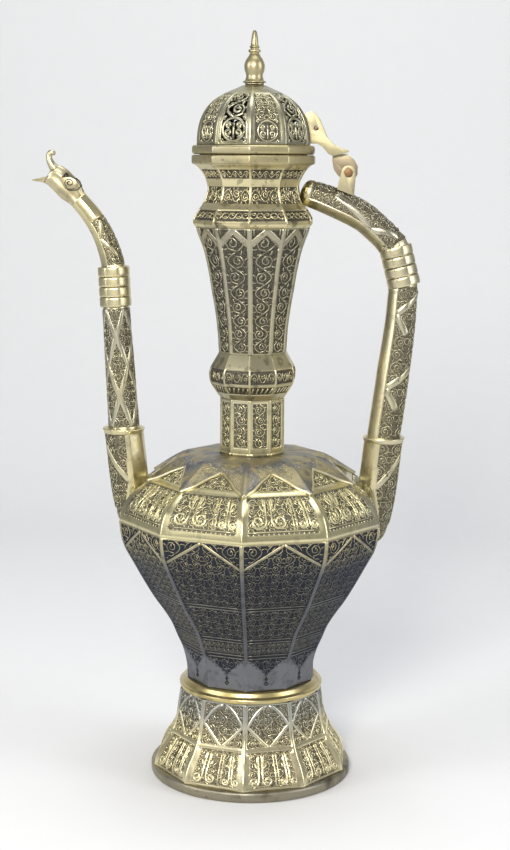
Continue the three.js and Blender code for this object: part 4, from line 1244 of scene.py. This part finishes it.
def chased_tube(name, tube, middle, reach, straps, low, high, strap_width=3.5, columns=5):
    """A tube with straps and vines from way low to way high, in a zone that reaches so many half
    facets to both sides of its middle"""
    def field(facet, x, way):
        return (away_from(middle, facet, x) < reach - 0.14) & (low < way < high)

    def zone(x, way):
        return (np.abs(x - middle) < reach - 0.2) & (way > low) & (way < high)

    chasing = raised_tube(name, tube, 90, 0.7, field, strap_width, straps)
    room = strap_width * 0.28 / tube.unit((low + high) / 2) + 0.1
    chasing.vines(0.6, columns, min(reach, TUBE_SIDES), low + 0.1, high - 0.1, depth=STRAP_DEPTH,
                  inside=clear_of(straps, room, zone), middle=middle)
    chasing.piece(name + "_ornament", tube_chased)


# %% [markdown]
# The collars of the spout and of the handle are rings with soft corners. Each is closed and a little
# rounded, and thin dark gaps part them.

# %% Ring collars
def centre_of(node):
    low, high = box_of(node)
    return ((low + high) / 2)[[0, 2]]


def octagon_ring(name, centre, along, skin, inner, replaces=()):
    """A closed ring, eight-sided with soft corners, square to a direction in the XZ plane. skin has
    (shift along it, half width) pairs"""
    places = np.linspace(-1, 1, 9)[:-1]
    turn = np.concatenate([(facet * 2 + places) * EIGHTH for facet in range(TUBE_SIDES)])
    bulge = np.tile(1 / np.cos(places * EIGHTH) ** 0.4, TUBE_SIDES)
    profile = [*skin, (skin[-1][0], inner), (skin[0][0], inner)]
    points = []
    for shift, half in profile:
        deep, over = half * bulge * np.cos(turn), half * bulge * np.sin(turn)
        points.append(np.column_stack([centre[0] + along[0] * shift + along[1] * deep, over,
                                       centre[1] + along[1] * shift - along[0] * deep]))
    faces = grid_faces(len(profile), len(turn), loop=True, ring=True)
    outwards(mesh_object(name, np.vstack(points), faces, gilt_bright, replaces=replaces).data, JOINED)


def ring_stack(prefix):
    """The four rings of a collar, from the first to the last"""
    nodes = [f"{prefix}_{k}" for k in range(1, 5)]
    run = (centre_of(nodes[3]) - centre_of(nodes[0])) / 3
    pitch = np.linalg.norm(run)
    for node in nodes:
        half = box_of(node)[1][1]
        skin = [(s * (pitch - 0.3) / 2, half - 0.3 * abs(s) ** 6) for s in np.linspace(-1, 1, 15)]
        octagon_ring(node + "_rounded", centre_of(node), run / pitch, skin, half - 1.2, (node,))


ring_stack("spout_ring")
ring_stack("handle_ring")

# %% [markdown]
# A socket is a tapered cup over the shoulder. Level planes give its outer line down to where the
# belly takes it; from there it dives into the belly. Its lip is a flared ring.

# %% Sockets
LIP_HEIGHT = 2.6
LIP_SKIN = ((-LIP_HEIGHT / 2, -0.75), (-0.4, -0.55), (0.3, -0.25), (0.85, 0.0), (1.15, -0.02),
            (LIP_HEIGHT / 2, -0.2))


def socket_line(node, outward):
    """Stations down a socket; outward is -1 for the spout's and 1 for the handle's"""
    low, high = box_of(node)
    triangles = triangles_of(node)
    half = high[1] - 0.8
    stations = []
    for height in np.linspace(high[2] - LIP_HEIGHT - 0.5, low[2] + 2.5, 14):
        spots = crossed(triangles, np.array([0, 0, height]), np.array([0, 0, 1.0]))
        edge = (spots[:, 0] * outward).max() * outward
        half = min(half, np.abs(spots[:, 1]).max())
        stations.append((edge - outward * half, height, half, half))
    x, height, half, _ = stations[-1]
    for drop, dive, width in ((5.0, 2.2, 0.72), (9.0, 6.0, 0.4)):
        edge = x + outward * (half - dive)
        stations.append((edge - outward * half * width, height - drop, half * width, half * width))
    top = (stations[0][0] + outward * 0.2, high[2] - 0.6, high[1] - 0.7, high[1] - 0.7)
    return np.array([top, *stations])


def socket_piece(node, outward):
    down = socket_line(node, outward)
    tube = Tube(node, down[::outward], 0.55)
    lip_way, foot_way = (0.3, tube.end - 0.3)[::outward]

    def reach(way):
        """Half facets from the outer side to the zone's edge, which draws in below"""
        return np.interp((way - lip_way) / (foot_way - lip_way), (0, 0.4, 1), (4.6, 4.4, 2.0))

    def field(facet, x, way):
        within = (way - lip_way) * (way - foot_way) < 0
        return within & (away_from(OUTSIDE, facet, x) < reach(way) - 0.14)

    knee = lip_way + (foot_way - lip_way) * 0.42
    straps = edge_straps(OUTSIDE, 4.6, knee, (4.6, (lip_way - knee) * 0.9))
    chasing = raised_tube(node + "_raised", tube, 70, 0.9, field, 3.8, straps)
    chasing.vines(0.58, 5, 5, 0.3, tube.end - 0.3, depth=STRAP_DEPTH, middle=OUTSIDE,
                  inside=clear_of(straps, 0.42, lambda x, way: np.abs(x - OUTSIDE) < reach(way) - 0.2))
    chasing.piece(node + "_ornament", tube_chased)
    half, top = box_of(node)[1][1:]
    octagon_ring(node + "_lip", (down[0][0], top - LIP_HEIGHT / 2), (0.0, 1.0),
                 [(shift, half + less) for shift, less in LIP_SKIN], half - 2.4)


socket_piece("spout_socket", -1)
socket_piece("handle_socket", 1)

# %% [markdown]
# The four long tubes are traced and chased one by one. Each one's ornament ends just short of the
# collar's rings, and just over the socket's lip or under the head.

# %% Spout and handle tubes
HALF_RING = 0.17  # of the way from a collar's first ring to its last
spout_up = centre_of("spout_ring_1") - centre_of("spout_ring_4")
handle_down = centre_of("handle_ring_4") - centre_of("handle_ring_1")


def over_socket(tube, stations, station, socket):
    """Way just over a socket's lip"""
    return tube.near((stations[station][0], box_of(socket)[1][2] + 0.6))


spout_low, spout_high = box_of("spout_lower")
spout_way = traced("spout_lower", ((spout_low[0] + spout_high[0]) / 2 + 2, spout_low[2] + 0.5), (0, 1))
tube = Tube("spout_lower", spout_way, 0.2)
low = over_socket(tube, spout_way, 4, "spout_socket")
high = tube.near(centre_of("spout_ring_4") - spout_up * HALF_RING) - 0.15
# straps that cross on the front at one and at three quarters of the way up
crossing_straps = [line((start - 2 * hand, low), (start + 6 * hand, high), steps=60)
                   for start in range(-8, 8, 4) for hand in (-1, 1)]
chased_tube("spout_lower_chased", tube, 0, 9, crossing_straps, low, high, columns=8)

neck_way = carried_on(traced("spout_upper", centre_of("spout_ring_2"), spout_up), 1.0)
tube = Tube("spout_upper", neck_way, 0.6)
low = tube.near(centre_of("spout_ring_1") + spout_up * HALF_RING) + 0.15
straps = edge_straps(INSIDE, 5, low + 6.3, (2.6, 3.8), (3.4, -4.7))
chased_tube("spout_neck_chased", tube, INSIDE, 5, straps, low, low + (tube.end - low) * 0.62,
            strap_width=3.0, columns=4)

grip_way = traced("handle_lower", centre_of("handle_ring_3"), handle_down)
tube = Tube("handle_lower", grip_way, 0.45)
low = tube.near(centre_of("handle_ring_4") + handle_down * HALF_RING) + 0.15
straps = [one for rise in (4.4, 15.6) for one in edge_straps(OUTSIDE, 5, low + rise, (5, -3.7), (2.3, 2.9))]
chased_tube("handle_lower_chased", tube, OUTSIDE, 5, straps, low,
            over_socket(tube, grip_way, -4, "handle_socket"), strap_width=4.4, columns=4)

collar_side = box_of("handle_upper")[0][0]  # where the upper handle meets the collar's waist
bend_way = traced("handle_upper", centre_of("handle_ring_2"), -handle_down)
bend_way = bend_way[bend_way[:, 0] > collar_side + 5.5]
for distance, share in ((2.2, 0.97), (1.6, 0.86), (1.2, 0.62), (0.6, 0.4)):
    bend_way = carried_on(bend_way, distance, share)
bend_way = bend_way[::-1]
tube = Tube("handle_upper", bend_way, 0.6, count=120)
high = tube.near(centre_of("handle_ring_1") - handle_down * HALF_RING) - 0.15
straps = edge_straps(OUTSIDE, 5, high - 4.8, (2.6, -8.0), (3.4, 4.2))
chased_tube("handle_upper_chased", tube, OUTSIDE, 5, straps, tube.near(bend_way[4][:2]), high,
            strap_width=4.4, columns=4)

# %% [markdown]
# The head is a skin over ovals that each run from a point on its upper outline to one on its lower
# outline, given in millimetres from the throat. The crest curls over it. A slit and an eye lie on
# its sides, and behind them a raised oval with a dark spiral on it and a dark ring round it.

# %% Bird's head
HEAD_SECTIONS = (  # upper reach and rise, lower reach and rise, half width
    (-2.9, 2.4, 3.3, -2.7, 4.4), (-1.8, 5.7, 6.0, -0.9, 4.5), (0.3, 9.6, 9.0, 0.9, 4.8),
    (3.3, 12.8, 11.7, 3.6, 5.0), (6.0, 15.4, 13.8, 5.7, 4.9), (9.0, 17.0, 15.4, 7.2, 4.5),
    (11.7, 17.0, 16.4, 7.8, 3.9), (13.6, 15.4, 17.1, 8.2, 3.1), (14.6, 13.5, 17.5, 8.5, 2.4),
    (15.4, 12.1, 17.9, 8.7, 1.8), (17.7, 11.4, 18.9, 8.9, 1.3), (20.7, 10.7, 21.0, 9.2, 0.8),
    (23.4, 10.0, 23.4, 9.7, 0.25))
CREST = ((11.4, 14.6, 2.7), (13.3, 17.0, 2.1), (14.5, 19.4, 1.7), (14.8, 21.4, 1.5), (14.2, 22.9, 1.45),
         (12.9, 23.0, 1.35), (12.2, 21.8, 1.0))  # reach, rise and half thickness
throat = neck_way[-2, :2]
HEAD_SCALE = (throat[0] - box_of("spout_head")[0][0]) / 23.5


class HeadSkin(Surface):
    """A surface through ovals that lean as the outline does"""

    sides = TUBE_SIDES

    def __init__(self):
        rows = smooth_line(HEAD_SECTIONS, 90) * HEAD_SCALE
        upper, lower = (throat + rows[:, k:k + 2] * (-1, 1) for k in (0, 2))
        self.middle, self.up, self.width = (upper + lower) / 2, (upper - lower) / 2, rows[:, 4]
        self.deep = np.maximum(np.linalg.norm(self.up, axis=1), 0.15)
        self.measure("spout_head", np.maximum(self.deep * math.tan(EIGHTH), 0.3), step_lengths(self.middle))

    def place(self, facet, x, way, lift):
        turn = (facet * 2 + x) * EIGHTH
        middle_x, middle_z, up_x, up_z, width, deep = self.here(way, *self.middle.T, *self.up.T, self.width,
                                                                self.deep)
        rise = np.cos(turn) * (1 + lift / deep)
        return np.column_stack([middle_x + up_x * rise, (width + lift) * np.sin(turn),
                                middle_z + up_z * rise])

    def spot(self, reach, rise):
        """Facet place and way of a spot on the head's side, given from the throat"""
        off = throat + np.array([-reach, rise]) * HEAD_SCALE - self.middle
        row = np.argmin(np.abs(np.cross(self.up, off)) / self.deep
                        + 10 * (np.linalg.norm(off, axis=1) > self.deep))
        share = np.dot(off[row], self.up[row]) / self.deep[row] ** 2
        return math.asin(np.clip(share, -1, 1)) / EIGHTH, self.way[row]


head = HeadSkin()
raise_shell("spout_head_rounded", head, 90, head_gilt, edge=even_edge(0.1, 0.0), inner=5, thick=0.35,
            slot="bright_silver")


def softened(name, node, material, width, body=VESSEL):
    """The CAD piece's own shape with soft edges"""
    whole = bmesh.new()
    whole.from_mesh(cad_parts[node].data)
    bmesh.ops.remove_doubles(whole, verts=whole.verts, dist=2 * JOINED)
    bmesh.ops.dissolve_limit(whole, angle_limit=math.radians(1), verts=whole.verts, edges=whole.edges)
    mesh = bpy.data.meshes.new(name)
    whole.to_mesh(mesh)
    whole.free()
    mesh.materials.append(material)
    piece = added(name, mesh)
    soft_edges(piece, width)
    finish_piece(piece, body, (node,))


def closed_tube(name, stations, material, replaces=(), sides=20, rows=50):
    """A round tube through (X, Y, Z, half) stations in millimetres, closed with small domes"""
    rail = smooth_line(stations, rows)
    share = np.linspace(0, 1, rows)
    half = rail[:, 3] * np.sqrt(np.clip(1 - (np.abs(share * 2 - 1)) ** 24, 0.02, 1))
    run = np.gradient(rail[:, :3], axis=0)
    run /= np.linalg.norm(run, axis=1)[:, None]
    first = np.cross(run, (0, 1.0, 0))
    first /= np.linalg.norm(first, axis=1)[:, None]
    second = np.cross(run, first)
    turns = np.arange(sides) * 2 * math.pi / sides
    points = [rail[k, :3] + half[k] * (math.cos(t) * first[k] + math.sin(t) * second[k])
              for k in range(rows) for t in turns]
    ends = [tuple(range(sides)), tuple(range((rows - 1) * sides, rows * sides))]
    faces = grid_faces(rows, sides, ring=True) + ends
    outwards(mesh_object(name, points, faces, material, VESSEL, replaces).data, JOINED)


def head_stroke(spots, half, name, material):
    """A thin cord laid on both sides of the head"""
    for side, facet, flip in (("front", FRONT, 1), ("back", BACK, -1)):
        x, way = np.array([head.spot(*spot) for spot in spots]).T
        closed_tube(f"{name}_{side}", stroke(*head.place(facet, x * flip, way, 0.0).T, half), material,
                    sides=10, rows=24)


def boss_curl(node, face):
    """A dark spiral on a boss whose face looks along Y, forwards for 1 and back for -1"""
    low, high = box_of(node)
    x, _, z = (low + high) / 2
    turns = np.linspace(0, 3.4 * math.pi, 40)
    reach = 0.35 + turns * 0.17
    y = (high if face > 0 else low)[1] + face * (0.12 - (reach / 2.2) ** 2 * 0.35)
    rail = stroke(x + reach * 1.15 * np.cos(turns), y, z + reach * np.sin(turns), 0.27)
    closed_tube(node + "_curl", rail, dark_marks_and_inner_shade, sides=8, rows=60)


head_stroke(((7.0, 11.6), (6.2, 13.2), (5.2, 12.8), (4.6, 11.0), (4.7, 9.8)), 0.28, "head_slit", dark_marks_and_inner_shade)
head_stroke(((7.7, 11.2), (7.45, 11.35), (7.2, 11.45)), 0.55, "head_eye", copper)
turns = np.radians(np.arange(-10, 341, 35))
head_stroke(np.column_stack([2.9 + 4.1 * np.cos(turns), 8.1 + 3.0 * np.sin(turns)]), 0.2,
            "head_boss_surround", dark_marks_and_inner_shade)
BOSSES = {"head_boss_front": -1, "head_boss_back": 1}
for node in BOSSES:
    softened(node + "_domed", node, head_gilt, 0.8)
for node, face in BOSSES.items():
    boss_curl(node, face)
crest = [(throat[0] - reach * HEAD_SCALE, 0.0, throat[1] + rise * HEAD_SCALE, half)
         for reach, rise, half in CREST]
closed_tube("spout_crest_curl", crest, head_gilt, ("spout_crest",))

# %% [markdown]
# The hinge is pale cast silver. Its pieces keep the imported shape, with worn edges. Four pieces inside
# the ewer keep their imported shape too and get only a finish.

# %% Hinge and inner pieces
# The knuckle under the thumb strap's leaf takes painted shade from the cream finish's zone.
softened("thumb_strap_cast", "thumb_strap", cream, 0.9, LID)
softened("hinge_lug_cast", "hinge_lug", ivory, 0.7)
softened("hinge_pin_peened", "hinge_pin", copper, 0.25)
softened("strap_rivet_peened", "strap_rivet", copper, 0.2, LID)
# The floor, the skirt and the washer inside get near-black silver: painted shade.
for node, finish in (("body_floor", dark_marks_and_inner_shade), ("lid_skirt", dark_marks_and_inner_shade), ("finial_washer", dark_marks_and_inner_shade),
                     ("strap_tongue", ivory)):
    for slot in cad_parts[node].material_slots:
        slot.material = finish

# %% [markdown]
# The stage is a pale sweep, a floor that curves up into a wall, with soft light from large lamps. Its
# back can't be seen by the camera, so the ewer shows from behind too.

# %% Stage and light
def stage_material(name, colour):
    recipe = Recipe(name)
    shade = recipe.mix(recipe.noise(60.0, detail=3.0), colour, tuple(value * 0.97 for value in colour))
    behind = recipe.node("ShaderNodeNewGeometry", output="Backfacing")
    looked_at = recipe.node("ShaderNodeLightPath", output="Is Camera Ray")
    return recipe.finished(Base_Color=shade, Roughness=0.8, Alpha=1.0 - behind * looked_at)


def sweep(name, front, back, radius, width, height, material):
    """A floor that curves up into a wall, in metres"""
    turns = np.linspace(0, math.pi / 2, 13)
    curve = [(back - radius + radius * math.sin(t), radius - radius * math.cos(t)) for t in turns]
    points = [(x, y, z) for y, z in [(front, 0.0), *curve, (back, height)] for x in (-width, width)]
    mesh = bpy.data.meshes.new(name)
    mesh.from_pydata(points, [], grid_faces(len(points) // 2, 2))
    mesh.polygons.foreach_set("use_smooth", [True] * len(mesh.polygons))
    mesh.materials.append(material)
    added(name, mesh)


def soft_lamp(name, place, width, height, power, colour=(1, 1, 1)):
    """A lamp that looks at the middle of the ewer"""
    lamp = bpy.data.lights.new(name, "AREA")
    lamp.shape, lamp.size, lamp.size_y = "RECTANGLE", width, height
    lamp.energy, lamp.color = power, colour
    holder = added(name, lamp)
    holder.location = place
    towards = Vector((AXIS * MM, 0.0, 0.19)) - Vector(place)
    holder.rotation_euler = towards.to_track_quat("-Z", "Y").to_euler()


sweep("sweep", -2.5, 0.9, 0.35, 3.0, 2.6, stage_material("pale sweep", (0.74, 0.75, 0.77)))
soft_lamp("key", (-0.12, -1.1, 0.72), 0.34, 0.34, 13.0, (1.0, 0.95, 0.86))
soft_lamp("left", (-0.95, -0.5, 0.6), 0.4, 0.8, 5.0)
soft_lamp("right", (1.0, -0.35, 0.55), 0.4, 0.8, 4.5)
soft_lamp("top", (0.05, 0.1, 1.3), 0.7, 0.7, 6.0)

world = bpy.data.worlds.new("studio")
world.use_nodes = True
bpy.context.scene.world = world
world.node_tree.nodes["Background"].inputs["Color"].default_value = (0.8, 0.82, 0.85, 1.0)
world.node_tree.nodes["Background"].inputs["Strength"].default_value = 0.3

# %% [markdown]
# The photograph is taken from a little above, a little to the handle's side of the front, from about
# 0.83 m. A pinhole camera fitted to its level rings gives the place, the lens and the small roll.

# %% Camera
IMAGE_HEIGHT = 850
FOCAL_PIXELS = 1650
DISTANCE, CAMERA_HEIGHT = 0.8348, 0.3171
AZIMUTH, PITCH_DOWN, ROLL = math.radians(4.0), math.radians(9.12), math.radians(0.37)
AIM_SIDE = math.radians(0.094)  # turns the camera a little past the axis
camera_data = bpy.data.cameras.new("camera")
camera_data.lens = FOCAL_PIXELS / IMAGE_HEIGHT * camera_data.sensor_width
camera = added("camera", camera_data)
aim = AZIMUTH - AIM_SIDE
level_right = Vector((math.cos(aim), math.sin(aim), 0.0))
forward = Vector((-math.sin(aim) * math.cos(PITCH_DOWN), math.cos(aim) * math.cos(PITCH_DOWN),
                  -math.sin(PITCH_DOWN)))
level_up = level_right.cross(forward)
right = level_right * math.cos(ROLL) + level_up * math.sin(ROLL)
up = level_up * math.cos(ROLL) - level_right * math.sin(ROLL)
camera.matrix_world = Matrix((right, up, -forward)).transposed().to_4x4()
camera.location = (AXIS * MM + DISTANCE * math.sin(AZIMUTH), -DISTANCE * math.cos(AZIMUTH), CAMERA_HEIGHT)
bpy.context.scene.camera = camera
bpy.context.scene.view_settings.view_transform = "Standard"
print("camera at", tuple(round(value, 3) for value in camera.location))

# %% [markdown]
# Last, the sprigs' curves go.

# %% Finish
for drawing in SPRIGS.values():
    bpy.data.objects.remove(drawing)
